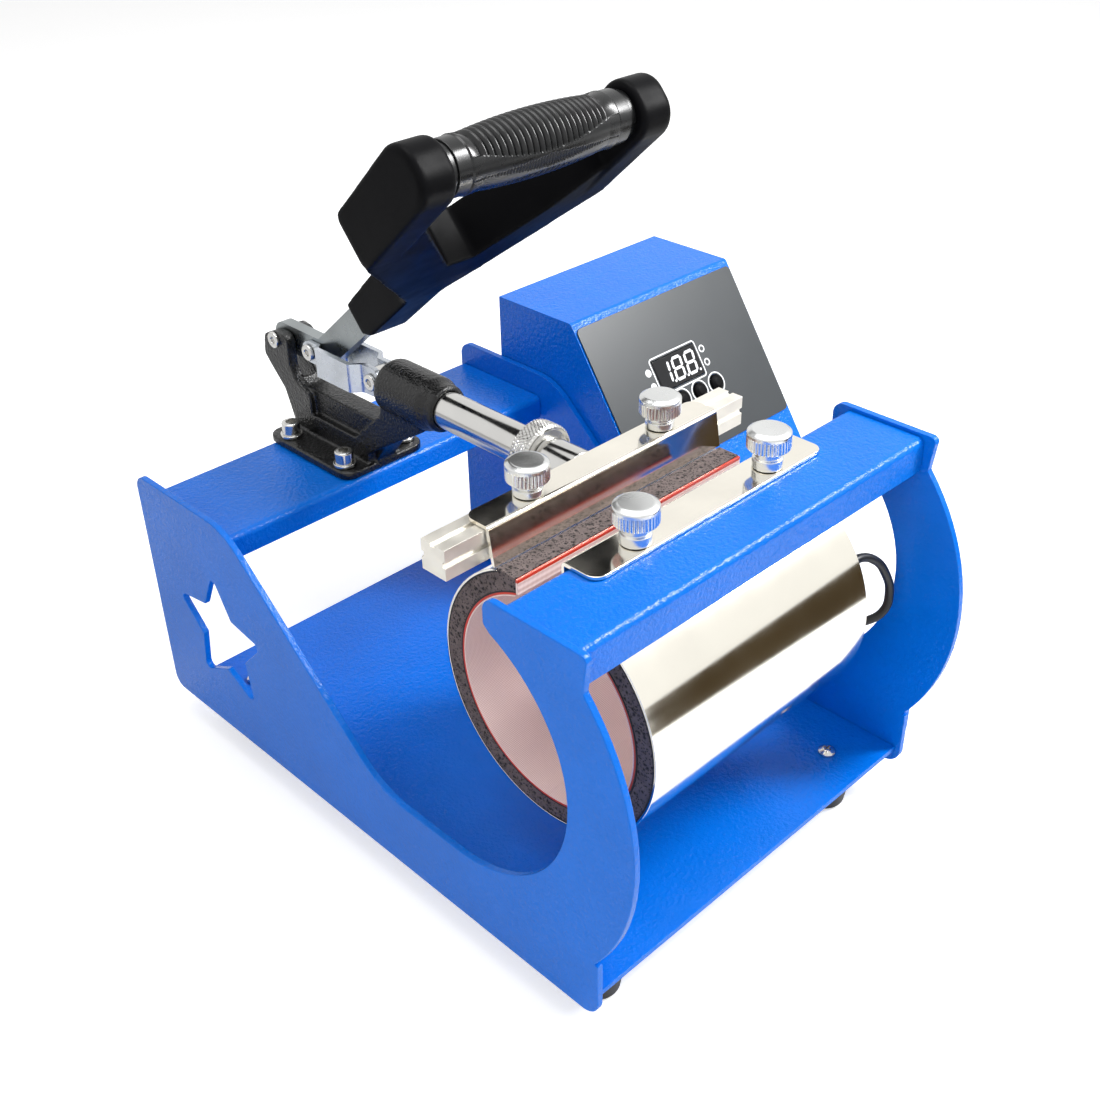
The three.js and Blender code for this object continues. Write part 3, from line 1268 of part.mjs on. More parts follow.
function boxProfile(wall) {
  const slack = wall / Math.sin(boxSlope);
  const cornerShift = wall * Math.tan(boxSlope / 2);
  const front = boxFrontY + wall;
  const frontTop = BOX_BOTTOM + BOX_FRONT_HEIGHT;
  const slopeFoot = frontTop + wall * Math.tan(boxSlope) - slack * Math.tan(boxSlope);
  return {
    topFrontY: slopeTopY + cornerShift,
    top: boxTop - wall,
    front,
    slopeFoot,
    bottom: BOX_BOTTOM + wall,
  };
}

function boxSolid(wall, rearY, fromX, toX, corner) {
  const { topFrontY, top, front, slopeFoot, bottom } = boxProfile(wall);
  const profile = rounded([
    [rearY, bottom],
    [rearY, top],
    [topFrontY, top, corner],
    [front, slopeFoot, corner],
    [front, bottom, corner],
  ]);
  return prismX(profile, fromX, toX);
}

const coverFaceY = BOX_REAR_Y;
const coverInsideY = BOX_REAR_Y - BOX_WALL;

function coverScrewPlaces() {
  const inset = BOX_WALL + COVER_BLOCK / 2;
  const lowZ = BOX_BOTTOM + inset;
  const highZ = boxTop - inset;
  const leftX = boxLeftX + inset;
  const rightX = boxLeftX + BOX_WIDTH - inset;
  return [
    ["low_left", leftX, lowZ],
    ["low_right", rightX, lowZ],
    ["high_left", leftX, highZ],
    ["high_right", rightX, highZ],
  ];
}

const inletX = boxLeftX + INLET_X;
const switchX = boxLeftX + SWITCH_X;
const switchHalfWidth = ROCKER_WIDTH / 2 + SWITCH_WALL;
const switchHalfHeight = ROCKER_LENGTH / 2 + SWITCH_WALL;

function controlBox() {
  const group = new THREE.Group();
  const boxRightX = boxLeftX + BOX_WIDTH;
  const halfDisplayX = DISPLAY_WIDTH / 2 + SEAT_GAP;
  const halfDisplayY = DISPLAY_HEIGHT / 2 + SEAT_GAP;
  const through = [-BOX_WALL - CUT_OVERRUN, CUT_OVERRUN];
  const displayHole = block(
    [DISPLAY_X - halfDisplayX, DISPLAY_X + halfDisplayX],
    [-DISPLAY_DOWN - halfDisplayY, -DISPLAY_DOWN + halfDisplayY],
    through,
  );
  const buttonHoles = (radius, from, to) =>
    buttonNames.map((name, index) => rod(radius, from, to, "z", [buttonX(index), -BUTTON_DOWN, 0]));
  const blocks = coverScrewPlaces().map(([, x, z]) => {
    const half = COVER_BLOCK / 2;
    const rearY = coverInsideY - SEAT_GAP;
    return block(
      [x - half - BOX_WALL / 2, x + half + BOX_WALL / 2],
      [rearY - COVER_BLOCK, rearY],
      [z - half - BOX_WALL / 2, z + half + BOX_WALL / 2],
    );
  });
  const screwHoles = coverScrewPlaces().map(([, x, z]) =>
    rod(
      COVER_SCREW_RADIUS + SEAT_GAP,
      coverInsideY - COVER_SCREW_LENGTH - SEAT_GAP,
      coverFaceY + CUT_OVERRUN,
      "y",
      [x, 0, z],
    ),
  );
  const grommetZ = LEAD_ROUTE.at(-1)[2];
  const grommetPlace = [boxLeftX + GROMMET_X - SEAT_GAP, 0, grommetZ];
  const grommetHole = rod(
    GROMMET_RADIUS + SEAT_GAP,
    boxFrontY - CUT_OVERRUN,
    boxFrontY + BOX_WALL + CUT_OVERRUN,
    "y",
    grommetPlace,
  );
  const hollow = cut(
    boxSolid(0, coverFaceY, boxLeftX, boxRightX, BOX_CORNER),
    boxSolid(BOX_WALL, coverFaceY + CUT_OVERRUN, boxLeftX + BOX_WALL, boxRightX - BOX_WALL, 0),
  );
  const shell = cut(
    joined(hollow, ...blocks),
    onSlope(displayHole),
    ...buttonHoles(BUTTON_RADIUS + RUNNING_GAP, ...through).map(onSlope),
    ...screwHoles,
    grommetHole,
  );
  group.add(piece("control_box", shell, "bluePaint"));

  const coverGap = BOX_WALL + SEAT_GAP;
  const inletHalfWidth = INLET_WIDTH / 2 + SEAT_GAP;
  const inletHalfTall = INLET_TALL / 2 + SEAT_GAP;
  const overCover = [coverInsideY - CUT_OVERRUN, coverFaceY + CUT_OVERRUN];
  const cover = cut(
    block(
      [boxLeftX + coverGap, boxRightX - coverGap],
      [coverInsideY, coverFaceY],
      [BOX_BOTTOM + coverGap, boxTop - coverGap],
    ),
    block(
      [inletX - inletHalfWidth, inletX + inletHalfWidth],
      overCover,
      [INLET_HEIGHT - inletHalfTall, INLET_HEIGHT + inletHalfTall],
    ),
    block(
      [switchX - switchHalfWidth - SEAT_GAP, switchX + switchHalfWidth + SEAT_GAP],
      overCover,
      [INLET_HEIGHT - switchHalfHeight - SEAT_GAP, INLET_HEIGHT + switchHalfHeight + SEAT_GAP],
    ),
    ...screwHoles,
  );
  group.add(piece("box_rear_cover", cover, "bluePaint"));
  for (const [corner, x, z] of coverScrewPlaces()) {
    const seat = coverFaceY + SEAT_GAP;
    const screw = turned(
      [
        [0, coverInsideY - COVER_SCREW_LENGTH],
        [COVER_SCREW_RADIUS, coverInsideY - COVER_SCREW_LENGTH],
        [COVER_SCREW_RADIUS, seat],
        [COVER_SCREW_HEAD_RADIUS, seat],
        [COVER_SCREW_HEAD_RADIUS / 2, seat + COVER_SCREW_HEAD_HEIGHT],
        [0, seat + COVER_SCREW_HEAD_HEIGHT],
      ],
      "y",
      [x, 0, z],
    );
    group.add(piece("cover_screw_" + corner, screw, "brightSteel"));
  }

  const grommet = cut(
    turned(
      [
        [0, boxFrontY - GROMMET_LIP],
        [GROMMET_RADIUS, boxFrontY - GROMMET_LIP],
        [GROMMET_LIP_RADIUS, boxFrontY - SEAT_GAP],
        [GROMMET_RADIUS, boxFrontY - SEAT_GAP],
        [GROMMET_RADIUS, boxFrontY + BOX_WALL + SEAT_GAP],
        [GROMMET_LIP_RADIUS, boxFrontY + BOX_WALL + SEAT_GAP],
        [GROMMET_RADIUS, boxFrontY + BOX_WALL + GROMMET_LIP],
        [0, boxFrontY + BOX_WALL + GROMMET_LIP],
      ],
      "y",
      grommetPlace,
    ),
    rod(LEAD_RADIUS + SEAT_GAP, boxFrontY - GROMMET_LIP - CUT_OVERRUN, boxFrontY + SHEET, "y", grommetPlace),
  );
  group.add(piece("lead_grommet", grommet, "blackRubber"));
  return group;
}

function controlPanel() {
  const group = new THREE.Group();
  const overlayOutline = rectangle(
    OVERLAY_MARGIN,
    BOX_WIDTH - OVERLAY_MARGIN,
    -OVERLAY_BOTTOM,
    -OVERLAY_TOP,
    OVERLAY_CORNER,
  );
  const overlayTop = SEAT_GAP + OVERLAY_THICKNESS;
  const halfX = DISPLAY_WIDTH / 2;
  const halfY = DISPLAY_HEIGHT / 2;
  const displayX = [DISPLAY_X - halfX, DISPLAY_X + halfX];
  const displayY = [-DISPLAY_DOWN - halfY, -DISPLAY_DOWN + halfY];
  const widen = ([from, to]) => [from - SEAT_GAP, to + SEAT_GAP];
  const overlay = cut(
    prismZ(overlayOutline, SEAT_GAP, overlayTop),
    block(widen(displayX), widen(displayY), [0, overlayTop + CUT_OVERRUN]),
    ...buttonNames.map((name, index) =>
      rod(BUTTON_RADIUS + RUNNING_GAP, 0, overlayTop + CUT_OVERRUN, "z", [buttonX(index), -BUTTON_DOWN, 0]),
    ),
  );
  group.add(piece("panel_overlay", onSlope(overlay), "overlayFilm"));

  const display = block(displayX, displayY, [-BOARD_DEPTH + SEAT_GAP, overlayTop + DISPLAY_STAND]);
  group.add(piece("display_module", onSlope(display), "displayFace"));

  const boardCenterX = BOX_WIDTH / 2;
  const boardX = [boardCenterX - BOARD_WIDTH / 2, boardCenterX + BOARD_WIDTH / 2];
  const boardY = [-BOARD_DOWN - BOARD_HEIGHT / 2, -BOARD_DOWN + BOARD_HEIGHT / 2];
  const standoffs = [];
  for (const x of [boardX[0] + STANDOFF_INSET, boardX[1] - STANDOFF_INSET]) {
    for (const y of [boardY[0] + STANDOFF_INSET, boardY[1] - STANDOFF_INSET]) {
      standoffs.push(rod(STANDOFF_RADIUS, -BOARD_DEPTH - SEAT_GAP, -BOX_WALL - SEAT_GAP, "z", [x, y, 0]));
    }
  }
  const flangeFace = -BOX_WALL - RUNNING_GAP;
  const flangeBack = flangeFace - BUTTON_FLANGE_THICKNESS;
  const switchTop = flangeBack - BUTTON_TRAVEL - SEAT_GAP;
  const switches = buttonNames.map((name, index) =>
    rod(SWITCH_STEM_RADIUS, -BOARD_DEPTH - SEAT_GAP, switchTop, "z", [buttonX(index), -BUTTON_DOWN, 0]),
  );
  const board = joined(
    block(boardX, boardY, [-BOARD_DEPTH - BOARD_THICKNESS, -BOARD_DEPTH]),
    ...standoffs,
    ...switches,
  );
  group.add(piece("controller_board", onSlope(board), "circuitBoard"));

  buttonNames.forEach((name, index) => {
    const crown = overlayTop + BUTTON_STAND;
    const button = turned(
      [
        [0, flangeBack],
        [BUTTON_FLANGE_RADIUS, flangeBack],
        [BUTTON_FLANGE_RADIUS, flangeFace],
        [BUTTON_RADIUS, flangeFace],
        [BUTTON_RADIUS, crown - BUTTON_STAND / 2],
        [BUTTON_RADIUS / 2, crown],
        [0, crown],
      ],
      "z",
      [buttonX(index), -BUTTON_DOWN, 0],
    );
    group.add(piece(name, onSlope(button), "blackPlastic"));
  });
  return group;
}

function powerParts() {
  const group = new THREE.Group();
  const halfWidth = INLET_WIDTH / 2;
  const halfTall = INLET_TALL / 2;
  const flangeFrontFace = coverFaceY + SEAT_GAP;
  const flangeRearFace = flangeFrontFace + INLET_FLANGE_THICKNESS;
  const inside = INLET_RECESS_WALL;
  const floorY = flangeRearFace - INLET_DEPTH + INLET_RECESS_WALL;
  const pins = [-1, 0, 1].map((place) => {
    const x = inletX + place * INLET_PIN_SPREAD;
    const z = INLET_HEIGHT + (place === 0 ? INLET_PIN_WIDTH / 2 : -INLET_PIN_WIDTH / 2);
    return block(
      [x - INLET_PIN_THICKNESS / 2, x + INLET_PIN_THICKNESS / 2],
      [floorY - CUT_OVERRUN, floorY + INLET_PIN_LENGTH],
      [z - INLET_PIN_WIDTH / 2, z + INLET_PIN_WIDTH / 2],
    );
  });
  const inletBody = joined(
    block(
      [inletX - halfWidth, inletX + halfWidth],
      [flangeRearFace - INLET_DEPTH, flangeRearFace],
      [INLET_HEIGHT - halfTall, INLET_HEIGHT + halfTall],
    ),
    prismY(
      rectangle(
        inletX - halfWidth - INLET_FLANGE,
        inletX + halfWidth + INLET_FLANGE,
        INLET_HEIGHT - halfTall - INLET_FLANGE,
        INLET_HEIGHT + halfTall + INLET_FLANGE,
        INLET_FLANGE,
      ),
      flangeFrontFace,
      flangeRearFace,
    ),
  );
  const recess = block(
    [inletX - halfWidth + inside, inletX + halfWidth - inside],
    [floorY, flangeRearFace + CUT_OVERRUN],
    [INLET_HEIGHT - halfTall + inside, INLET_HEIGHT + halfTall - inside],
  );
  group.add(piece("power_inlet", joined(cut(inletBody, recess), ...pins), "blackPlastic"));

  const rockerGapX = ROCKER_WIDTH / 2 + RUNNING_GAP;
  const rockerGapZ = ROCKER_LENGTH / 2 + RUNNING_GAP;
  const switchFrame = cut(
    joined(
      block(
        [switchX - switchHalfWidth, switchX + switchHalfWidth],
        [flangeRearFace - SWITCH_DEPTH, flangeRearFace],
        [INLET_HEIGHT - switchHalfHeight, INLET_HEIGHT + switchHalfHeight],
      ),
      prismY(
        rectangle(
          switchX - switchHalfWidth - SWITCH_WALL,
          switchX + switchHalfWidth + SWITCH_WALL,
          INLET_HEIGHT - switchHalfHeight - SWITCH_WALL,
          INLET_HEIGHT + switchHalfHeight + SWITCH_WALL,
          SWITCH_WALL,
        ),
        flangeFrontFace,
        flangeRearFace,
      ),
    ),
    block(
      [switchX - rockerGapX, switchX + rockerGapX],
      [flangeRearFace - SWITCH_DEPTH + SWITCH_WALL, flangeRearFace + CUT_OVERRUN],
      [INLET_HEIGHT - rockerGapZ, INLET_HEIGHT + rockerGapZ],
    ),
  );
  group.add(piece("power_switch_frame", switchFrame, "blackPlastic"));

  // The rocker rests with its lower half pressed in, tilted about a pivot under its face.
  const halfLength = ROCKER_LENGTH / 2 - ROCKER_DEPTH * Math.sin(degrees(ROCKER_TILT));
  const valleyDrop = halfLength * Math.tan(degrees(ROCKER_TILT));
  const rocker = prismX(
    [
      [-ROCKER_PIVOT_DEPTH / 2, -halfLength / 2],
      [ROCKER_PIVOT_DEPTH, -halfLength],
      [ROCKER_PIVOT_DEPTH - valleyDrop, 0],
      [ROCKER_PIVOT_DEPTH, halfLength],
      [-ROCKER_PIVOT_DEPTH / 2, halfLength / 2],
    ],
    -ROCKER_WIDTH / 2,
    ROCKER_WIDTH / 2,
  )
    .rotate([-ROCKER_TILT, 0, 0])
    .translate([switchX, flangeRearFace - ROCKER_PIVOT_DEPTH + valleyDrop, INLET_HEIGHT]);
  group.add(piece("power_rocker", rocker, "blackPlastic"));

  const relayFrontY = boxFrontY + RELAY_FRONT_MARGIN;
  const relayX = [boxLeftX + BOX_WIDTH / 2 - RELAY_LENGTH / 2, boxLeftX + BOX_WIDTH / 2 + RELAY_LENGTH / 2];
  const relayBottom = BOX_BOTTOM + BOX_WALL + SEAT_GAP;
  const relay = joined(
    block(relayX, [relayFrontY, relayFrontY + RELAY_WIDTH], [relayBottom, relayBottom + RELAY_HEIGHT - RELAY_STEP]),
    block(
      [relayX[0] + RELAY_STEP, relayX[1] - RELAY_STEP],
      [relayFrontY, relayFrontY + RELAY_WIDTH],
      [relayBottom, relayBottom + RELAY_HEIGHT],
    ),
  );
  group.add(piece("solid_state_relay", relay, "blackPlastic"));
  return group;
}

// The heater lead: straight out of the band's right end, in one loop and over the valley to the grommet.
function heaterLead() {
  const path = new THREE.CatmullRomCurve3(LEAD_ROUTE.map((point) => new THREE.Vector3(...point)));
  const section = new THREE.Shape();
  for (let side = 0; side < LEAD_SIDES; side += 1) {
    const angle = (2 * Math.PI * side) / LEAD_SIDES;
    const place = [LEAD_RADIUS * Math.cos(angle), LEAD_RADIUS * Math.sin(angle)];
    if (side === 0) section.moveTo(...place);
    else section.lineTo(...place);
  }
  const tube = new THREE.ExtrudeGeometry(section, { steps: LEAD_STEPS, extrudePath: path });
  return piece("heater_lead", solidOf(tube), "blackRubber");
}

const press = new THREE.Group();
press.add(frame(), feet(), heaterBand(), frontBracket(), carriage(), clamp(), handle());
press.add(controlBox(), controlPanel(), powerParts(), heaterLead());

// The origin is the bottom centre of everything but the free lead.
const reach = new THREE.Box3();
press.updateMatrixWorld(true);
press.traverse((object) => {
  if (object.isMesh && object.name !== "heater_lead") reach.expandByObject(object);
});
const middle = reach.getCenter(new THREE.Vector3());
press.position.set(-middle.x, -middle.y, -reach.min.z);

const group = new THREE.Group();
group.add(press);

export default group;
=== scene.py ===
import json
from math import acos, atan2, ceil, cos, hypot, pi, radians, sin, sqrt, tan

import bpy
from mathutils import Matrix, Vector


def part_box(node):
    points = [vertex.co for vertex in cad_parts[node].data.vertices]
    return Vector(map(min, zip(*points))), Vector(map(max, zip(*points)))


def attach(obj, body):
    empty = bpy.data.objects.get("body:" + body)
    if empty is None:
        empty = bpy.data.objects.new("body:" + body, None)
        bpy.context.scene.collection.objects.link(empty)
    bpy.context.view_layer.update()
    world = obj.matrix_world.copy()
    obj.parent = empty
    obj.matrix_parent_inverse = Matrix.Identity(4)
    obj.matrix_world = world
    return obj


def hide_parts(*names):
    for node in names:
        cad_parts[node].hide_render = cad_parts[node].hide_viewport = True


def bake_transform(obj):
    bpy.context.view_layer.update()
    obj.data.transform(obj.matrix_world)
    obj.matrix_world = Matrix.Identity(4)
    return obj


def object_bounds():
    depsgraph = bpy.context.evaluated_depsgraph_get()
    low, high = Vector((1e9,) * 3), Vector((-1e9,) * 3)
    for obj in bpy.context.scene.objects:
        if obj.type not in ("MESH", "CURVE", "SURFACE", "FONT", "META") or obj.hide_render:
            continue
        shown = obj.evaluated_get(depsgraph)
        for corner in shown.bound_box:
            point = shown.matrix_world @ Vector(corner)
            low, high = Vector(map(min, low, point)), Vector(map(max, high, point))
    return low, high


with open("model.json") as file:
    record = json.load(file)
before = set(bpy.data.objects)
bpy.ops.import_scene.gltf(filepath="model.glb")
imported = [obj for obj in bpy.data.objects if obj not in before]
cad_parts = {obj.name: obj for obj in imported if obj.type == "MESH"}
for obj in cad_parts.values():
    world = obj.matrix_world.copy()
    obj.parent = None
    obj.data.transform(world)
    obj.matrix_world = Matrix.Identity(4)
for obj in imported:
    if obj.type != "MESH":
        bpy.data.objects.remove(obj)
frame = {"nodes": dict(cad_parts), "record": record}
cad_low, cad_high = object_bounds()

# Lengths are millimetres in the press's own frame: X 0 midway between the side plates, Y 0 at their rear
# edge and Z 0 at their bottom edge. Each finished mesh is moved to the row frame, in metres.
MM = 0.001
SEAT_GAP = 0.3
RUNNING_GAP = 0.35
OVERRUN = 1
WELD = 0.002
AXIS_HEIGHT = 154
FRAME_WIDTH = 200
CENTER_X = -3
plate_low, plate_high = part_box("left_side_plate")
press_origin = Vector((plate_low.x + FRAME_WIDTH / 2 * MM, plate_high.y, plate_low.z))
to_row = Matrix.Translation(press_origin) @ Matrix.Scale(MM, 4)
to_press = to_row.inverted()


def span(node):
    """Lowest and highest corner of a CAD node in press millimetres."""
    low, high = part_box(node)
    return to_press @ low, to_press @ high


# Camera, fitted to the photograph
LENS = 45.472
SENSOR_WIDTH = 36
CAMERA_PLACE = Vector((-0.40468, -0.38231, 0.44516))
CAMERA_AZIMUTH = radians(-43.82)
CAMERA_ELEVATION = radians(32.88)
CAMERA_ROLL = radians(-1.31)

camera_data = bpy.data.cameras.new("camera")
camera_data.lens = LENS
camera_data.sensor_width = SENSOR_WIDTH
camera = bpy.data.objects.new("camera", camera_data)
bpy.context.collection.objects.link(camera)
turn = Matrix.Rotation(CAMERA_AZIMUTH, 4, "Z") @ Matrix.Rotation(pi / 2 - CAMERA_ELEVATION, 4, "X")
camera.matrix_world = Matrix.Translation(CAMERA_PLACE) @ turn @ Matrix.Rotation(CAMERA_ROLL, 4, "Z")
bpy.context.scene.camera = camera
bpy.context.scene.view_settings.view_transform = "Standard"


# Node helpers
def add_node(tree, kind, inputs=None, **settings):
    node = tree.nodes.new("ShaderNode" + kind)
    for key, value in settings.items():
        setattr(node, key, value)
    for key, value in (inputs or {}).items():
        if isinstance(value, bpy.types.NodeSocket):
            tree.links.new(value, node.inputs[key])
        else:
            node.inputs[key].default_value = value
    return node


def math_node(tree, operation, *values):
    return add_node(tree, "Math", dict(enumerate(values)), operation=operation).outputs[0]


def mapped(tree, value, from_low, from_high, to_low, to_high):
    ends = {"From Min": from_low, "From Max": from_high, "To Min": to_low, "To Max": to_high}
    return add_node(tree, "MapRange", {"Value": value, **ends}).outputs[0]


def mixed(tree, factor, first, second):
    return add_node(tree, "Mix", {0: factor, 6: first, 7: second}, data_type="RGBA").outputs[2]


def new_group(name, inputs, outputs):
    tree = bpy.data.node_groups.new(name, "ShaderNodeTree")
    for word, kind, value in inputs:
        socket = tree.interface.new_socket(name=word, in_out="INPUT", socket_type="NodeSocket" + kind)
        socket.default_value = value
    for word, kind in outputs:
        tree.interface.new_socket(name=word, in_out="OUTPUT", socket_type="NodeSocket" + kind)
    entry = tree.nodes.new("NodeGroupInput")
    result = tree.nodes.new("NodeGroupOutput")
    return tree, entry.outputs, result.inputs


def use_group(tree, group, **inputs):
    node = tree.nodes.new("ShaderNodeGroup")
    node.node_tree = group
    for key, value in inputs.items():
        socket = node.inputs[key.replace("_", " ").capitalize()]
        if isinstance(value, bpy.types.NodeSocket):
            tree.links.new(value, socket)
        else:
            socket.default_value = value
    return node.outputs


# Grain: noise of a given size, which can be stretched along an axis
NOISE_LOW = 0.3
NOISE_HIGH = 0.7
grain_group, given, result = new_group(
    "grain",
    [("Size", "Float", 0.001), ("Stretch", "Vector", (1, 1, 1)), ("Detail", "Float", 2)],
    [("Value", "Float")],
)
place = add_node(grain_group, "TexCoord").outputs["Object"]
squeezed = add_node(grain_group, "VectorMath", {0: place, 1: given["Stretch"]}, operation="DIVIDE")
density = math_node(grain_group, "DIVIDE", 1.0, given["Size"])
inputs = {"Vector": squeezed.outputs[0], "Scale": density, "Detail": given["Detail"]}
noise = add_node(grain_group, "TexNoise", inputs)
grain_group.links.new(noise.outputs[0], result["Value"])

# Tone: slow light and dark changes of a colour
tone_group, given, result = new_group(
    "tone",
    [("Color", "Color", (1, 1, 1, 1)), ("Size", "Float", 0.03), ("Amount", "Float", 0.1)],
    [("Color", "Color")],
)
patches = use_group(tone_group, grain_group, size=given["Size"], detail=4.0)["Value"]
darkest = math_node(tone_group, "SUBTRACT", 1.0, given["Amount"])
lightest = math_node(tone_group, "ADD", 1.0, given["Amount"])
brightness = mapped(tone_group, patches, NOISE_LOW, NOISE_HIGH, darkest, lightest)
toned = add_node(tone_group, "HueSaturation", {"Value": brightness, "Color": given["Color"]})
tone_group.links.new(toned.outputs[0], result["Color"])

# Pits: small round hollows of foam
PIT_FLOOR = 0.12
PIT_RIM = 0.42
pit_group, given, result = new_group("pits", [("Size", "Float", 0.002)], [("Value", "Float")])
place = add_node(pit_group, "TexCoord").outputs["Object"]
density = math_node(pit_group, "DIVIDE", 1.0, given["Size"])
cells = add_node(pit_group, "TexVoronoi", {"Vector": place, "Scale": density}).outputs["Distance"]
pit_group.links.new(mapped(pit_group, cells, PIT_FLOOR, PIT_RIM, 0.0, 1.0), result["Value"])

# Weave: crossed diagonal threads on a cylinder along X
weave_group, given, result = new_group(
    "weave",
    [("Axis", "Vector", (0, 0, 0)), ("Radius", "Float", 0.045), ("Pitch", "Float", 0.001)],
    [("Value", "Float")],
)
place = add_node(weave_group, "TexCoord").outputs["Object"]
offset = add_node(weave_group, "VectorMath", {0: place, 1: given["Axis"]}, operation="SUBTRACT")
parts = add_node(weave_group, "SeparateXYZ", {0: offset.outputs[0]}).outputs
angle = math_node(weave_group, "ARCTAN2", parts["Z"], parts["Y"])
around = math_node(weave_group, "MULTIPLY", angle, given["Radius"])
turns = math_node(weave_group, "DIVIDE", 2 * pi, given["Pitch"])
threads = []
for operation in ("ADD", "SUBTRACT"):
    diagonal = math_node(weave_group, operation, parts["X"], around)
    threads.append(math_node(weave_group, "SINE", math_node(weave_group, "MULTIPLY", diagonal, turns)))
crossing = math_node(weave_group, "MULTIPLY", *threads)
weave_group.links.new(mapped(weave_group, crossing, -1.0, 1.0, 0.0, 1.0), result["Value"])


def relief(tree, *layers):
    """Bumps on each other: layers are (height value, depth in millimetres)."""
    normal = None
    for height, depth in layers:
        inputs = {"Height": height, "Distance": depth * MM, "Strength": 1.0}
        if normal is not None:
            inputs["Normal"] = normal
        normal = add_node(tree, "Bump", inputs).outputs[0]
    return normal


def finish(name, **sockets):
    """A new material whose plain numbers and colours are set on the shader's own sockets."""
    made = bpy.data.materials.new(name)
    made.use_nodes = True
    shader = made.node_tree.nodes["Principled BSDF"]
    for key, value in sockets.items():
        shader.inputs[key.replace("_", " ").title().replace("Ior", "IOR")].default_value = value
    return made, made.node_tree, shader


def connect(tree, shader, color=None, roughness=None, normal=None):
    for socket, value in (("Base Color", color), ("Roughness", roughness), ("Normal", normal)):
        if value is not None:
            tree.links.new(value, shader.inputs[socket])


def rgb(red, green, blue):
    """A colour written in screen values from 0 to 255."""
    linear = []
    for value in (red, green, blue):
        share = value / 255
        linear.append(share / 12.92 if share <= 0.04045 else ((share + 0.055) / 1.055) ** 2.4)
    return (*linear, 1.0)


def grained(name, color, roughness, layers, tone=0.06, tone_size=0.03, spread=0.06, **sockets):
    """A material with tone changes, uneven gloss and relief from layers (size mm, stretch, depth mm)."""
    made, tree, shader = finish(name, **sockets)
    hue = use_group(tree, tone_group, color=color, size=tone_size, amount=tone)["Color"]
    gloss = use_group(tree, grain_group, size=tone_size / 2, detail=5.0)["Value"]
    heights = []
    for size, stretch, depth in layers:
        value = use_group(tree, grain_group, size=size * MM, stretch=stretch, detail=2.0)["Value"]
        heights.append((value, depth))
    rough = mapped(tree, gloss, NOISE_LOW, NOISE_HIGH, roughness - spread, roughness + spread)
    connect(tree, shader, hue, rough, relief(tree, *heights))
    return made


EVEN = (1, 1, 1)
ALONG_X = (60, 1, 1)
ALONG_Y = (1, 60, 1)
TURNED = (1, 0.6, 1)
BRUSHED = (1, 30, 12)
blue_paint = grained(
    "blue_paint",
    rgb(2, 108, 214),
    0.18,
    [(1.6, EVEN, 0.4), (0.7, EVEN, 0.07)],
    tone=0.05,
    spread=0.04,
    specular_ior_level=0.24,
)
bright_steel = grained(
    "bright_steel", rgb(246, 241, 229), 0.1, [(0.25, ALONG_X, 0.0015)], spread=0.03, metallic=1.0
)
screw_steel = grained(
    "screw_steel", rgb(226, 227, 226), 0.27, [(0.3, EVEN, 0.003)], spread=0.05, metallic=1.0
)
link_steel = grained(
    "link_steel",
    rgb(198, 203, 210),
    0.27,
    [(0.4, ALONG_Y, 0.004)],
    tone=0.12,
    tone_size=0.012,
    metallic=1.0,
)
shell_steel = grained(
    "shell_steel",
    rgb(250, 246, 234),
    0.11,
    [(0.3, ALONG_X, 0.0008)],
    tone=0.03,
    spread=0.02,
    metallic=1.0,
)
turned_steel = grained(
    "turned_steel", rgb(212, 211, 208), 0.17, [(0.2, TURNED, 0.002)], spread=0.05, metallic=1.0
)
brushed_steel = grained(
    "brushed_steel",
    rgb(150, 155, 156),
    0.3,
    [(0.25, BRUSHED, 0.004)],
    tone=0.15,
    tone_size=0.02,
    metallic=1.0,
)
bar_steel = grained(
    "bar_steel",
    rgb(236, 232, 222),
    0.4,
    [(0.3, ALONG_X, 0.012), (1.2, EVEN, 0.01)],
    tone=0.08,
    tone_size=0.012,
    metallic=0.7,
)
black_casting = grained(
    "black_casting",
    rgb(8, 8, 9),
    0.26,
    [(1.3, EVEN, 0.5), (0.6, EVEN, 0.1)],
    spread=0.05,
    specular_ior_level=0.5,
)
black_plastic = grained(
    "black_plastic",
    rgb(9, 9, 11),
    0.42,
    [(0.7, EVEN, 0.015), (7, EVEN, 0.05)],
    tone=0.1,
    spread=0.06,
    specular_ior_level=0.06,
)
black_rubber = grained("black_rubber", rgb(19, 19, 20), 0.45, [(0.6, EVEN, 0.012)], tone=0.1, spread=0.08)
grip_rubber = grained("grip_rubber", rgb(15, 16, 17), 0.27, [(0.8, EVEN, 0.008)], tone=0.12, spread=0.06)
silicone_red = grained("silicone_red", rgb(196, 52, 30), 0.4, [(0.8, EVEN, 0.02)], tone=0.12)
seam_black = grained("seam_black", rgb(20, 17, 17), 0.6, [(0.6, EVEN, 0.01)])
overlay_film = grained(
    "overlay_film",
    rgb(54, 58, 61),
    0.3,
    [(0.5, EVEN, 0.002)],
    tone=0.02,
    spread=0.01,
    specular_ior_level=0.4,
)
display_glass = grained("display_glass", rgb(13, 14, 18), 0.1, [(5, EVEN, 0.002)], spread=0.02)
circuit_green = grained("circuit_green", rgb(29, 90, 54), 0.4, [(1.5, EVEN, 0.01)])
print_white = grained("print_white", rgb(240, 242, 244), 0.4, [(0.3, EVEN, 0.002)], tone=0.02)

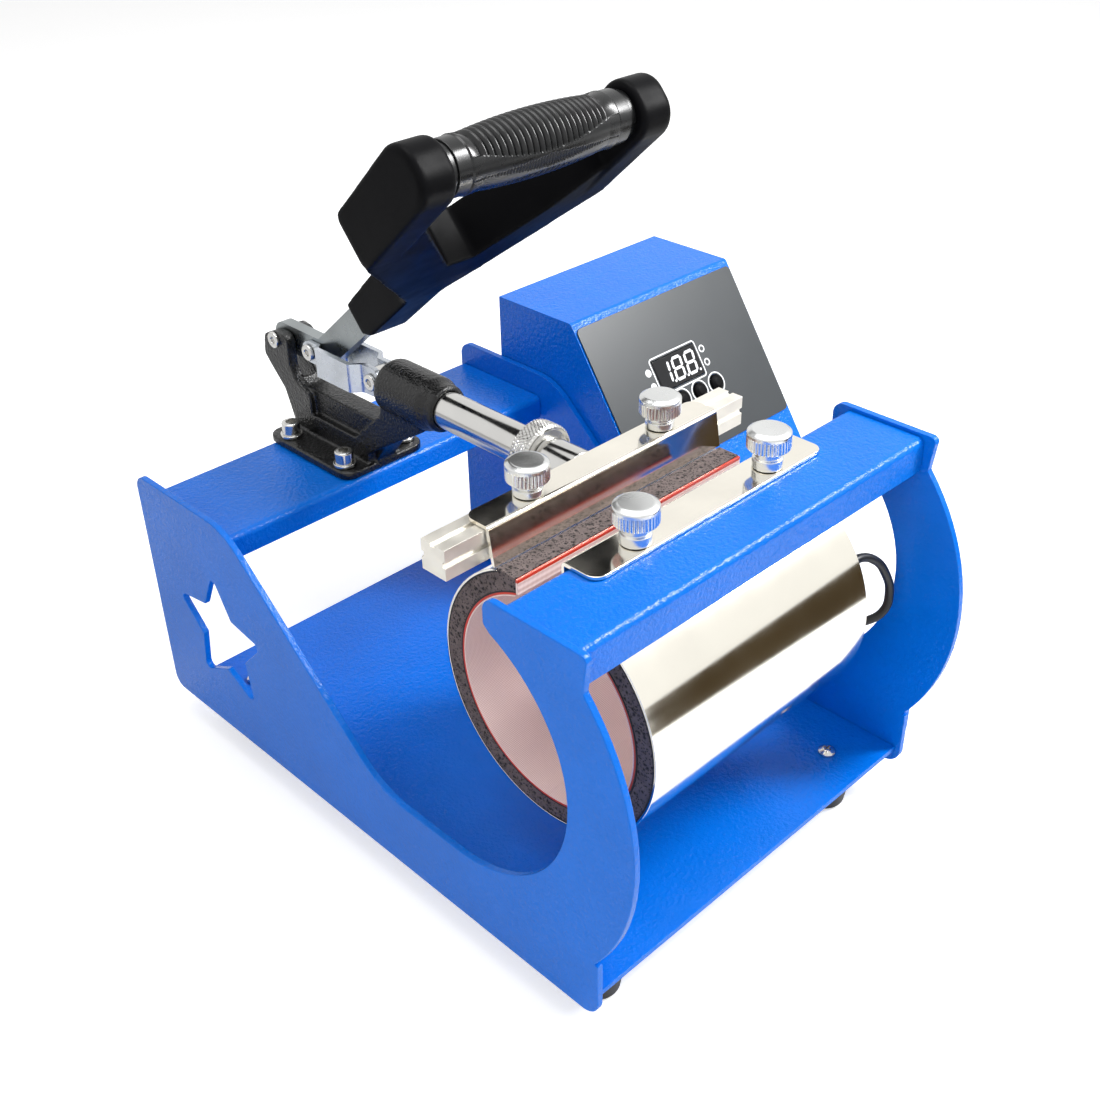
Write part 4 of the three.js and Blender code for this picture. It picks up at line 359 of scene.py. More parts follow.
FINE_PIT = 1.1
WIDE_PIT = 2.3
PIT_DEPTH = 0.35
foam_material, tree, shader = finish("foam", roughness=0.9)
fine_pits = use_group(tree, pit_group, size=FINE_PIT * MM)["Value"]
wide_pits = use_group(tree, pit_group, size=WIDE_PIT * MM)["Value"]
depth_share = math_node(tree, "MULTIPLY", fine_pits, wide_pits)
foam_tone = use_group(tree, tone_group, color=rgb(97, 86, 85), size=0.004, amount=0.25)["Color"]
# The pits are pressed in and also painted near black: painted shade in the hollows, mixed by the same
# depth as the relief.
foam_color_with_painted_pit_shade = mixed(tree, depth_share, rgb(8, 6, 8), foam_tone)
connect(tree, shader, foam_color_with_painted_pit_shade, normal=relief(tree, (depth_share, PIT_DEPTH)))

HEATER_BORE_RADIUS = 44.7
HEATER_AXIS = Vector((0, -231, 97.5))
THREAD_PITCH = 1.3
THREAD_DEPTH = 0.05
liner_cloth, tree, shader = finish("liner_cloth", roughness=0.55)
threads = use_group(
    tree, weave_group, axis=to_row @ HEATER_AXIS, radius=HEATER_BORE_RADIUS * MM, pitch=THREAD_PITCH * MM
)["Value"]
cloth_tone = use_group(tree, tone_group, color=rgb(255, 236, 231), size=0.02, amount=0.05)["Color"]
cloth_color = mixed(tree, threads, rgb(196, 160, 152), cloth_tone)
connect(tree, shader, cloth_color, normal=relief(tree, (threads, THREAD_DEPTH)))


# Modelling helpers. Shapes are drawn in (u, v) and along w, which an axis word turns into X, Y and Z.
EDGE_ANGLE = radians(32)
SAME_PLANE_ANGLE = radians(1)
ARC_STEP = radians(7)
LONGEST_REACH_SHARE = 0.49
FACE_WEIGHT = 60
SMOOTHING_SHARE = 0.5
ROUND_SIDES = 64
AXIS_TURNS = {
    "x": Matrix(((0, 0, 1), (1, 0, 0), (0, 1, 0))).to_4x4(),
    "y": Matrix(((1, 0, 0), (0, 0, 1), (0, 1, 0))).to_4x4(),
    "z": Matrix.Identity(4),
}


def select_only(obj):
    bpy.ops.object.select_all(action="DESELECT")
    bpy.context.view_layer.objects.active = obj
    obj.select_set(True)


def object_from(name, points, edges=(), faces=()):
    mesh = bpy.data.meshes.new(name)
    mesh.from_pydata([tuple(point) for point in points], edges, faces)
    obj = bpy.data.objects.new(name, mesh)
    bpy.context.collection.objects.link(obj)
    select_only(obj)
    return obj


def facing_out(obj):
    select_only(obj)
    bpy.ops.object.mode_set(mode="EDIT")
    bpy.ops.mesh.select_all(action="SELECT")
    bpy.ops.mesh.remove_doubles(threshold=WELD)
    bpy.ops.mesh.normals_make_consistent(inside=False)
    bpy.ops.object.mode_set(mode="OBJECT")
    return obj


def applied(obj, kind, **settings):
    select_only(obj)
    modifier = obj.modifiers.new(kind, kind)
    for key, value in settings.items():
        setattr(modifier, key, value)
    bpy.ops.object.modifier_apply(modifier=modifier.name)
    return obj


def arc(center_u, center_v, radius, start, end):
    """Points of an arc between two angles in degrees."""
    steps = max(2, ceil(abs(radians(end - start)) / ARC_STEP * 2))
    points = []
    for step in range(steps + 1):
        angle = radians(start + (end - start) * step / steps)
        points.append((center_u + radius * cos(angle), center_v + radius * sin(angle)))
    return points


def rounded(corners, closed=True):
    """An outline whose corners (u, v, radius) are rounded."""
    points = []
    count = len(corners)
    for index, (u, v, *radius) in enumerate(corners):
        corner = Vector((u, v))
        at_end = not closed and index in (0, count - 1)
        if at_end or not radius or radius[0] == 0:
            points.append(corner)
            continue
        before = Vector(corners[index - 1][:2]) - corner
        after = Vector(corners[(index + 1) % count][:2]) - corner
        half = before.angle(after) / 2
        longest = LONGEST_REACH_SHARE * min(before.length, after.length)
        reach = min(radius[0] / tan(half), longest)
        before.normalize()
        after.normalize()
        middle = corner + (before + after).normalized() * (reach / cos(half))
        start = corner + before * reach - middle
        end = corner + after * reach - middle
        swing = atan2(start.cross(end), start.dot(end))
        steps = max(2, ceil(abs(swing) / ARC_STEP))
        for step in range(steps + 1):
            turned_by = Matrix.Rotation(swing * step / steps, 2)
            points.append(middle + turned_by @ start)
    return points


def rectangle(low_u, high_u, low_v, high_v, radius=0):
    corners = ((low_u, low_v), (high_u, low_v), (high_u, high_v), (low_u, high_v))
    return rounded([(u, v, radius) for u, v in corners])


def drawn(name, outline, start, end, axis="x"):
    """A closed outline drawn out along an axis."""
    count = len(outline)
    edges = [(index, (index + 1) % count) for index in range(count)]
    obj = object_from(name, [(u, v, start) for u, v in outline], edges)
    bpy.ops.object.mode_set(mode="EDIT")
    bpy.ops.mesh.select_all(action="SELECT")
    bpy.ops.mesh.edge_face_add()
    bpy.ops.mesh.extrude_region_move(TRANSFORM_OT_translate={"value": (0, 0, end - start)})
    bpy.ops.object.mode_set(mode="OBJECT")
    obj.data.transform(AXIS_TURNS[axis])
    return facing_out(obj)


def slab(name, outline, width):
    """A closed outline drawn out along X, midway over the heater and the linkage."""
    return drawn(name, outline, CENTER_X - width / 2, CENTER_X + width / 2)


def block(name, low, high):
    outline = rectangle(low[0], high[0], low[1], high[1])
    return drawn(name, outline, low[2], high[2], "z")


def turned(name, profile, axis, place, sides=ROUND_SIDES):
    """A profile of (radius, place along the axis, rounding) spun round the axis."""
    line = rounded(profile, closed=False)
    edges = [(index, index + 1) for index in range(len(line) - 1)]
    obj = object_from(name, [(radius, 0, along) for radius, along in line], edges)
    bpy.ops.object.mode_set(mode="EDIT")
    bpy.ops.mesh.select_all(action="SELECT")
    bpy.ops.mesh.spin(steps=sides, angle=2 * pi, center=(0, 0, 0), axis=(0, 0, 1))
    bpy.ops.object.mode_set(mode="OBJECT")
    obj.data.transform(Matrix.Translation(place) @ AXIS_TURNS[axis])
    return facing_out(obj)


def rod(name, radius, start, end, axis, place):
    return turned(name, [(0, start), (radius, start), (radius, end), (0, end)], axis, place)


def hole_down(center, radius, low_z, high_z):
    """A cutter for an upright hole through a wall between two heights."""
    return rod("hole", radius, low_z - OVERRUN, high_z + OVERRUN, "z", (center.x, center.y, 0))


def hole_across(y, radius, reach):
    """A cutter for a hole along X at the height of the linkage."""
    return rod("hole", radius, CENTER_X - reach, CENTER_X + reach, "x", (0, y, AXIS_HEIGHT))


def pan_screw(radius, head_radius, low, seat, high, axis, place):
    """A screw whose low round head starts at its seat."""
    head_round = (high - seat) / 2
    profile = [
        (0, low),
        (radius, low, radius / 4),
        (radius, seat),
        (head_radius, seat),
        (head_radius, seat + head_round, head_round),
        (head_radius / 2, high, head_round),
        (0, high),
    ]
    return turned("screw", profile, axis, place, ROUND_SIDES // 2)


def combined(obj, *others, operation="DIFFERENCE"):
    for other in others:
        applied(obj, "BOOLEAN", object=other, operation=operation, solver="EXACT")
        bpy.data.objects.remove(other, do_unlink=True)
    return obj


def joined(obj, *others):
    return combined(obj, *others, operation="UNION")


def common(obj, *others):
    return combined(obj, *others, operation="INTERSECT")


def eased(obj, width=0.3, segments=3, angle=EDGE_ANGLE):
    """Rounds the edges of a piece."""
    facing_out(obj)
    applied(
        obj,
        "BEVEL",
        width=width,
        segments=segments,
        limit_method="ANGLE",
        angle_limit=angle,
        miter_outer="MITER_ARC",
    )
    for polygon in obj.data.polygons:
        polygon.use_smooth = True
    return applied(obj, "WEIGHTED_NORMAL", weight=FACE_WEIGHT)


def smooth(obj, angle=EDGE_ANGLE):
    select_only(obj)
    bpy.ops.object.shade_smooth_by_angle(angle=angle)
    return obj


def remeshed(obj, voxel, smoothing):
    """Joins overlapping bodies in one soft-edged skin, as a casting or a moulding has."""
    applied(obj, "REMESH", mode="VOXEL", voxel_size=voxel)
    applied(obj, "SMOOTH", factor=SMOOTHING_SHARE, iterations=smoothing)
    for polygon in obj.data.polygons:
        polygon.use_smooth = True
    return obj


def grooved(obj, axis, place, start, end, depth):
    """Presses a turned piece's skin in between two places, by depth(angle, share along)."""
    back = (Matrix.Translation(place) @ AXIS_TURNS[axis]).inverted()
    forth = back.inverted()
    for vertex in obj.data.vertices:
        point = back @ vertex.co
        if start <= point.z <= end:
            radius = hypot(point.x, point.y)
            pressed = radius - depth(atan2(point.y, point.x), (point.z - start) / (end - start))
            share = pressed / radius
            vertex.co = forth @ Vector((point.x * share, point.y * share, point.z))
    obj.data.update()
    return obj


bodies = {node: body for body, nodes in frame["record"]["behaviour"]["bodies"].items() for node in nodes}


def stands_for(obj, material, node, name=None, ride=True):
    """Moves a finished piece to the row frame as the shown form of a CAD node, on that node's body."""
    obj.name = name or "shown_" + node
    obj.data.name = obj.name
    obj.data.transform(to_row)
    obj.data.materials.clear()
    obj.data.materials.append(material)
    if ride:
        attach(obj, bodies[node])
    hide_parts(node)
    return obj


def copied(node, edge):
    """The CAD node's own form with eased edges."""
    source = frame["nodes"][node]
    obj = bpy.data.objects.new("copy", source.data.copy())
    bpy.context.collection.objects.link(obj)
    obj.data.transform(to_press)
    facing_out(obj)
    bpy.ops.object.mode_set(mode="EDIT")
    bpy.ops.mesh.select_all(action="SELECT")
    bpy.ops.mesh.dissolve_limited(angle_limit=SAME_PLANE_ANGLE)
    bpy.ops.object.mode_set(mode="OBJECT")
    return eased(obj, edge, 2)


# Heater lead, a free cable from the heater to the control box. Its route repeats the part's own.
LEAD_RADIUS = 1.9
LEAD_ROUTE = [
    (61, -276, 120),
    (68, -276, 120),
    (76, -278, 116),
    (82.5, -280, 107),
    (85.5, -281, 97),
    (83, -281, 89),
    (76, -277, 85),
    (69.5, -269, 83),
    (66, -259, 80.5),
    (65, -248, 75.5),
    (66.5, -238, 68),
    (71, -229, 59.5),
    (79, -220, 52),
    (89, -211, 47),
    (100, -202, 44),
    (109, -193, 42),
    (115.5, -183, 40.2),
    (118, -174, 38.6),
    (118, -166, 38),
]
lead_curve = bpy.data.curves.new("shown_heater_lead", "CURVE")
lead_curve.dimensions = "3D"
lead_curve.bevel_depth = LEAD_RADIUS * MM
lead_curve.bevel_resolution = 6
lead_curve.use_fill_caps = True
lead_line = lead_curve.splines.new("BEZIER")
lead_line.resolution_u = 10
lead_line.bezier_points.add(len(LEAD_ROUTE) - 1)
for knot, point in zip(lead_line.bezier_points, LEAD_ROUTE):
    knot.co = to_row @ Vector(point)
    knot.handle_left_type = "AUTO"
    knot.handle_right_type = "AUTO"
lead = bpy.data.objects.new("shown_heater_lead", lead_curve)
bpy.context.collection.objects.link(lead)
lead_curve.materials.append(black_rubber)
bpy.context.view_layer.update()
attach(lead, "frame")
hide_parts("heater_lead")

# Places shared by several pieces
HEATER_LENGTH = 127
HEATER_OUTER_RADIUS = 55.8
front_bar_low, front_bar_high = span("front_crossbar")
rear_bar_low, rear_bar_high = span("rear_crossbar")
post_top = span("left_side_plate")[1].z
PLATE_THICKNESS = 3
SHEET = 2.5
BAR_FOLD_RADIUS = 3
heater_y, heater_z = HEATER_AXIS.y, HEATER_AXIS.z


def middle_of(node):
    low, high = span(node)
    return (low + high) / 2


# Side plates: tower, slope, valley, throat and post
TOWER_STAND = 12
TOWER_DEPTH = 70.1
TOWER_CORNER = 7
TOWER_SHOULDER = 32
REAR_TOE_CORNER = 6.5
SLOPE_ANGLE = radians(41.6)
VALLEY_RADIUS = 41
THROAT_MARGIN = 6.2
THROAT_SETBACK = 17
THROAT_DROP = 1
THROAT_ARC = (270, 115)
POST_REAR_MARGIN = 6.3
POST_FRONT_MARGIN = 5
POST_NOSE = 5
POST_NOSE_HEIGHT = 11
POST_RADIUS = 100
POST_SETBACK = 23.5
POST_DROP = 10.5
POST_ARC = (140, 215.7)
TOE_MARGIN = 9.5
TOE_RADIUS = 8
STAR_CENTER = (-54.3, 55.2)
STAR_POINT_RADIUS = 34
STAR_INNER_RADIUS = 17.5
STAR_ROUNDING = 2.5
STAR_POINTS = 5
LUG_REACH = 9
LUG_HEIGHT = 18
LUG_BOTTOM = 10
LUG_SETBACK = 4.5
LUG_CORNER = 4
toe_y = front_bar_low.y - TOE_MARGIN


def side_plate_outline():
    tower_top = rear_bar_high.z + TOWER_STAND
    throat = (heater_y + THROAT_SETBACK, heater_z - THROAT_DROP)
    throat_radius = HEATER_OUTER_RADIUS + THROAT_MARGIN
    valley_z = throat[1] - throat_radius
    slope_length = (tower_top - valley_z) / tan(SLOPE_ANGLE)
    post_rear = front_bar_high.y + POST_REAR_MARGIN
    front = arc(heater_y + POST_SETBACK, heater_z - POST_DROP, POST_RADIUS, *POST_ARC)
    return rounded(
        [
            (0, 0, REAR_TOE_CORNER),
            (0, tower_top, TOWER_CORNER),
            (-TOWER_DEPTH, tower_top, TOWER_SHOULDER),
            (-TOWER_DEPTH - slope_length, valley_z, VALLEY_RADIUS),
            *arc(*throat, throat_radius, *THROAT_ARC),
            (post_rear, post_top - POST_NOSE_HEIGHT, POST_NOSE / 2),
            (post_rear, post_top, POST_NOSE),
            (front_bar_low.y - POST_FRONT_MARGIN, post_top, POST_NOSE / 2),
            *front,
            (toe_y, front[-1][1]),
            (toe_y, 0, TOE_RADIUS),
        ]
    )


def star_outline():
    corners = []
    for point in range(2 * STAR_POINTS):
        angle = pi / 2 + pi * point / STAR_POINTS
        tip = point % 2 == 0
        radius = STAR_POINT_RADIUS if tip else STAR_INNER_RADIUS
        place = (STAR_CENTER[0] + radius * cos(angle), STAR_CENTER[1] + radius * sin(angle))
        corners.append((*place, STAR_ROUNDING if tip else 0))
    return rounded(corners)


PLATE_EDGE = 0.5
left_x = -FRAME_WIDTH / 2
inside_x = FRAME_WIDTH / 2 - PLATE_THICKNESS
left_plate = drawn("left_plate", side_plate_outline(), left_x, left_x + PLATE_THICKNESS)
star = drawn("star", star_outline(), left_x - OVERRUN, left_x + PLATE_THICKNESS + OVERRUN)
stands_for(eased(combined(left_plate, star), PLATE_EDGE), blue_paint, "left_side_plate")

right_plate = drawn("right_plate", side_plate_outline(), inside_x, FRAME_WIDTH / 2)
lug_front = toe_y + LUG_SETBACK
lug_outline = rounded(
    [
        (inside_x + OVERRUN, LUG_BOTTOM),
        (FRAME_WIDTH / 2 + LUG_REACH, LUG_BOTTOM, LUG_CORNER),
        (FRAME_WIDTH / 2 + LUG_REACH, LUG_BOTTOM + LUG_HEIGHT, LUG_CORNER),
        (inside_x + OVERRUN, LUG_BOTTOM + LUG_HEIGHT),
    ]
)
lug = drawn("lug", lug_outline, lug_front, lug_front + PLATE_THICKNESS, "y")
stands_for(eased(joined(right_plate, lug), PLATE_EDGE), blue_paint, "right_side_plate")

# Base plate, crossbars, feet and their screws
FOOT_CORNERS = ("front_left", "front_right", "rear_left", "rear_right")
FOOT_SCREW_RADIUS = 2
FOOT_SCREW_HEAD_RADIUS = 4
SLOT_REACH = 2
SLOT_HALF_WIDTH = 0.4
FOOT_EDGE = 1.2
FOOT_TOP_RADIUS = 13
FOOT_BOTTOM_RADIUS = 9.8
foot_hole_radius = FOOT_SCREW_RADIUS + SEAT_GAP
base_low, base_high = span("base_plate")
base = block("base", base_low, base_high)
for corner in FOOT_CORNERS:
    screw_low, screw_high = span("foot_screw_" + corner)
    foot_low, foot_high = span("foot_" + corner)
    center = middle_of("foot_" + corner)
    place = (center.x, center.y, 0)
    combined(base, hole_down(center, foot_hole_radius, base_low.z, base_high.z))
    foot = turned(
        "foot",
        [
            (0, foot_low.z),
            (FOOT_BOTTOM_RADIUS - FOOT_EDGE, foot_low.z, FOOT_EDGE),
            (FOOT_BOTTOM_RADIUS, foot_low.z + FOOT_EDGE, FOOT_EDGE),
            (FOOT_TOP_RADIUS, foot_high.z - FOOT_EDGE, FOOT_EDGE),
            (FOOT_TOP_RADIUS - FOOT_EDGE, foot_high.z, FOOT_EDGE),
            (foot_hole_radius, foot_high.z),
            (foot_hole_radius, screw_low.z - SEAT_GAP),
            (0, screw_low.z - SEAT_GAP),
        ],
        "z",
        place,
    )
    stands_for(smooth(foot), black_rubber, "foot_" + corner)

    seat = base_high.z + SEAT_GAP
    heights = (screw_low.z, seat, screw_high.z)
    screw = pan_screw(FOOT_SCREW_RADIUS, FOOT_SCREW_HEAD_RADIUS, *heights, "z", place)
    slot_floor = (seat + screw_high.z) / 2
    for reach_x, reach_y in ((SLOT_REACH, SLOT_HALF_WIDTH), (SLOT_HALF_WIDTH, SLOT_REACH)):
        slot = block(
            "slot",
            (center.x - reach_x, center.y - reach_y, slot_floor),
            (center.x + reach_x, center.y + reach_y, screw_high.z + OVERRUN),
        )
        combined(screw, slot)
    stands_for(smooth(screw), turned_steel, "foot_screw_" + corner)
stands_for(eased(base, PLATE_EDGE), blue_paint, "base_plate")


def crossbar(name, low, high):
    inner = BAR_FOLD_RADIUS - SHEET
    profile = rounded(
        [
            (high.y, low.z),
            (high.y, high.z, BAR_FOLD_RADIUS),
            (low.y, high.z, BAR_FOLD_RADIUS),
            (low.y, low.z),
            (low.y + SHEET, low.z),
            (low.y + SHEET, high.z - SHEET, inner),
            (high.y - SHEET, high.z - SHEET, inner),
            (high.y - SHEET, low.z),
        ]
    )
    return drawn(name, profile, low.x, high.x)


BOLT_RADIUS = 3
CLAMP_BOLTS = ["clamp_bolt_" + corner for corner in FOOT_CORNERS]
rear_bar = crossbar("rear_bar", rear_bar_low, rear_bar_high)
for node in CLAMP_BOLTS:
    hole = hole_down(middle_of(node), BOLT_RADIUS + SEAT_GAP, rear_bar_high.z - SHEET, rear_bar_high.z)
    combined(rear_bar, hole)
stands_for(eased(rear_bar, PLATE_EDGE), blue_paint, "rear_crossbar")

THUMB_SHANK_RADIUS = 3


def thumb_holes(obj, bar, thickness, top):
    """Cuts the holes of the two thumbscrews on the front or the rear bar."""
    for side in ("left", "right"):
        center = middle_of(f"{bar}_thumbscrew_{side}")
        combined(obj, hole_down(center, THUMB_SHANK_RADIUS + RUNNING_GAP, top - thickness, top))


front_bar = crossbar("front_bar", front_bar_low, front_bar_high)
thumb_holes(front_bar, "front", SHEET, front_bar_high.z)
stands_for(eased(front_bar, PLATE_EDGE), blue_paint, "front_crossbar")

# Heater band: cloth, silicone mat, foam and shell, open at the top. On the press its front half is fixed
# and its rear half bends with the carriage; here the front half rides with its body and the rear half is
# attached to no body.
CLOTH_THICKNESS = 0.6
LINER_THICKNESS = 1.5
FOAM_THICKNESS = 8
SHELL_THICKNESS = 1
BAND_ARC_STEPS = 120
foam_inner = HEATER_BORE_RADIUS + LINER_THICKNESS + SEAT_GAP
foam_outer = foam_inner + FOAM_THICKNESS
mat_inner = HEATER_BORE_RADIUS + CLOTH_THICKNESS
mat_thickness = LINER_THICKNESS - CLOTH_THICKNESS
band_layers = [
    ("liner_cloth", "heating_liner", HEATER_BORE_RADIUS, CLOTH_THICKNESS, liner_cloth, 0.2),
    ("liner_mat", "heating_liner", mat_inner, mat_thickness, silicone_red, 0.2),
    ("foam_inner_skin", "heater_foam", foam_inner - SEAT_GAP, 2 * SEAT_GAP, seam_black, 0.1),
    ("foam_pad", "heater_foam", foam_inner + SEAT_GAP, FOAM_THICKNESS - 2 * SEAT_GAP, foam_material, 0.6),
    ("foam_outer_skin", "heater_foam", foam_outer - SEAT_GAP, 2 * SEAT_GAP, seam_black, 0.1),
    ("shell", "heater_shell", foam_outer + SEAT_GAP, SHELL_THICKNESS, shell_steel, 0.25),
]
front_bracket_low, front_bracket_high = span("front_heater_bracket")
rear_bracket_low, rear_bracket_high = span("rear_heater_bracket")
SHELL_END_DROP = 1.4
MAT_LIP_THICKNESS = 1.2
MAT_LIP_HEIGHT = 1.5
MAT_LIP_EDGE = 0.25
MAT_TURN_FOOT_SHARE = 0.975
BAND_FRONT_LIP = 5.5
BAND_END_WIDTH = 10
band_end_z = 148
band_end_y = heater_y + sqrt(HEATER_OUTER_RADIUS**2 - (band_end_z - heater_z) ** 2)
band_front_z = front_bracket_low.z - SEAT_GAP
band_front_y = front_bracket_high.y + BAND_FRONT_LIP
band_rear_y = band_end_y - BAND_END_WIDTH


def band_half(inner, thickness, front, end_drop, cap_end):
    """Half of a layer, with arcs from the bottom to the layer's cut end, which a cap can widen."""
    outer = inner + thickness
    sign = -1 if front else 1
    end_z = band_front_z if front else band_end_z - end_drop
    end_y = band_front_y if front else band_rear_y
    edges = []
    for radius in (inner, outer):
        highest = min(end_z - heater_z, sqrt(radius**2 - (end_y - heater_y) ** 2))
        last = acos(-highest / radius)
        points = []
        for step in range(BAND_ARC_STEPS + 1):
            angle = last * step / BAND_ARC_STEPS
            points.append((heater_y + sign * radius * sin(angle), heater_z - radius * cos(angle)))
        edges.append(points)
    inside, outside = edges
    corner = []
    if cap_end:
        corner += [(cap_end, end_z), (cap_end, band_end_z), (end_y, band_end_z)]
    elif outside[-1][1] > end_z - WELD and inside[-1][1] < end_z - WELD:
        corner.append((end_y, end_z))
    return outside + corner + inside[::-1]


for word, node, inner, thickness, material, edge in band_layers:
    for half in ("front", "rear"):
        end_drop = SHELL_END_DROP if half == "rear" and node != "heating_liner" else 0
        cap_end = band_end_y if half == "rear" and word == "foam_pad" else None
        outline = band_half(inner, thickness, half == "front", end_drop, cap_end)
        layer = eased(slab("layer", outline, HEATER_LENGTH), edge, 2)
        stands_for(layer, material, node, f"{word}_{half}", ride=half == "front")
        if half == "rear":
            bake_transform(layer)

# The liner turns up against the rear foam's cut end, and its red edge ends just below the foam's top
turn_foot = heater_z + HEATER_BORE_RADIUS * MAT_TURN_FOOT_SHARE
lip_top = band_end_z - SEAT_GAP
lip_foot = lip_top - MAT_LIP_HEIGHT
for word, material, foot, top in (
    ("liner_turn", liner_cloth, turn_foot, lip_foot),
    ("liner_lip", silicone_red, lip_foot, lip_top),
):
    outline = rectangle(band_rear_y - MAT_LIP_THICKNESS, band_rear_y, foot, top)
    strip = eased(slab("strip", outline, HEATER_LENGTH), MAT_LIP_EDGE, 2)
    stands_for(strip, material, "heating_liner", word, ride=False)
    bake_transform(strip)

# Brackets
BRIGHT_SHEET = 1.5
BRACKET_CORNER = 5
BRACKET_EDGE = 0.3


def bracket(bar, profile, low, high, front, rear):
    """An angle cut to a plan from its front to its rear (y, corner), with its bar's thumbscrew holes."""
    angle = drawn("angle", rounded(profile), low.x, high.x)
    plan = [(low.x, *front), (high.x, *front), (high.x, *rear), (low.x, *rear)]
    common(angle, drawn("plan", rounded(plan), low.z - OVERRUN, high.z + OVERRUN, "z"))
    thumb_holes(angle, bar, BRIGHT_SHEET, high.z)
    stands_for(eased(angle, BRACKET_EDGE), bright_steel, bar + "_heater_bracket")


low, high = front_bracket_low, front_bracket_high
front_profile = [
    (low.y, high.z - BRIGHT_SHEET),
    (low.y, high.z),
    (high.y, high.z, BRIGHT_SHEET + SEAT_GAP),
    (high.y, low.z),
    (high.y - BRIGHT_SHEET, low.z),
    (high.y - BRIGHT_SHEET, high.z - BRIGHT_SHEET, SEAT_GAP),
]
bracket("front", front_profile, low, high, (low.y, BRACKET_CORNER), (high.y + OVERRUN, 0))

bar_low, bar_high = span("pressure_bar")
low, high = rear_bracket_low, rear_bracket_high
bend_y = bar_low.y - SEAT_GAP
rear_profile = [
    (high.y, high.z - BRIGHT_SHEET),
    (high.y, high.z),
    (bend_y - BRIGHT_SHEET, high.z, BRIGHT_SHEET + SEAT_GAP),
    (low.y, low.z),
    (low.y + BRIGHT_SHEET, low.z),
    (bend_y, high.z - BRIGHT_SHEET, SEAT_GAP),
]
bracket("rear", rear_profile, low, high, (low.y - OVERRUN, 0), (high.y, BRACKET_CORNER))

# Pressure bar with a groove in three faces
BAR_GROOVE_DEPTH = 1.2
BAR_GROOVE_WIDTH = 2.4
BAR_EDGE = 0.35
half_groove = BAR_GROOVE_WIDTH / 2
bar_y, bar_z = (bar_low.y + bar_high.y) / 2, (bar_low.z + bar_high.z) / 2
bar_profile = [
    (bar_low.y, bar_low.z),
    (bar_high.y, bar_low.z),
    (bar_high.y, bar_z - half_groove),
    (bar_high.y - BAR_GROOVE_DEPTH, bar_z - half_groove),
    (bar_high.y - BAR_GROOVE_DEPTH, bar_z + half_groove),
    (bar_high.y, bar_z + half_groove),
    (bar_high.y, bar_high.z),
    (bar_y + half_groove, bar_high.z),
    (bar_y + half_groove, bar_high.z - BAR_GROOVE_DEPTH),
    (bar_y - half_groove, bar_high.z - BAR_GROOVE_DEPTH),
    (bar_y - half_groove, bar_high.z),
    (bar_low.y, bar_high.z),
    (bar_low.y, bar_z + half_groove),
    (bar_low.y + BAR_GROOVE_DEPTH, bar_z + half_groove),
    (bar_low.y + BAR_GROOVE_DEPTH, bar_z - half_groove),
    (bar_low.y, bar_z - half_groove),
]
bar = drawn("bar", bar_profile, bar_low.x, bar_high.x)
thumb_holes(bar, "rear", bar_high.z - bar_low.z, bar_high.z)
stands_for(eased(bar, BAR_EDGE), bar_steel, "pressure_bar")

# Thumbscrews: ribbed head with a smooth upper band and a low dome on a stepped neck
THUMB_RIBS = 36
THUMB_RIB_DEPTH = 0.65
TOOTH_SIDES = 8
THUMB_SIDES = THUMB_RIBS * TOOTH_SIDES
THUMB_HEAD_RADIUS = 8.6
THUMB_NECK_RADIUS = 6
THUMB_HEAD_LENGTH = 7
THUMB_DOME = 1.2
THUMB_BAND = 2
THUMB_EDGE = 0.5


def thumb_rib(angle, share):
    return THUMB_RIB_DEPTH * (0.5 - 0.5 * cos(angle * THUMB_RIBS))


def thumbscrew(node, seat):
    low, high = span(node)
    center = (low + high) / 2
    place = (center.x, center.y, 0)
    head_top = high.z - THUMB_DOME
    head_bottom = head_top - THUMB_HEAD_LENGTH
    step = seat + (head_bottom - seat) / 2
    waist_radius = THUMB_NECK_RADIUS - 2 * THUMB_EDGE
    ribs_start = head_bottom + THUMB_EDGE
    ribs_end = head_top - THUMB_BAND
    profile = [
        (0, low.z),
        (THUMB_SHANK_RADIUS, low.z, THUMB_EDGE),
        (THUMB_SHANK_RADIUS, seat),
        (THUMB_NECK_RADIUS, seat, THUMB_EDGE),
        (THUMB_NECK_RADIUS, step, THUMB_EDGE),
        (waist_radius, step + THUMB_EDGE, THUMB_EDGE),
        (waist_radius, head_bottom, THUMB_EDGE),
        (THUMB_HEAD_RADIUS - THUMB_EDGE, head_bottom, THUMB_EDGE / 4),
        (THUMB_HEAD_RADIUS, ribs_start),
        (THUMB_HEAD_RADIUS, ribs_end),
        (THUMB_HEAD_RADIUS, ribs_end + THUMB_EDGE),
        (THUMB_HEAD_RADIUS, head_top, THUMB_BAND / 2),
        (THUMB_HEAD_RADIUS - THUMB_BAND, high.z, THUMB_BAND),
        (0, high.z),
    ]
    screw = turned("screw", profile, "z", place, THUMB_SIDES)
    grooved(screw, "z", place, ribs_start - WELD, ribs_end + WELD, thumb_rib)
    stands_for(smooth(screw), screw_steel, node)


for side in ("left", "right"):
    thumbscrew("front_thumbscrew_" + side, front_bracket_high.z + SEAT_GAP)
    thumbscrew("rear_thumbscrew_" + side, rear_bracket_high.z + SEAT_GAP)

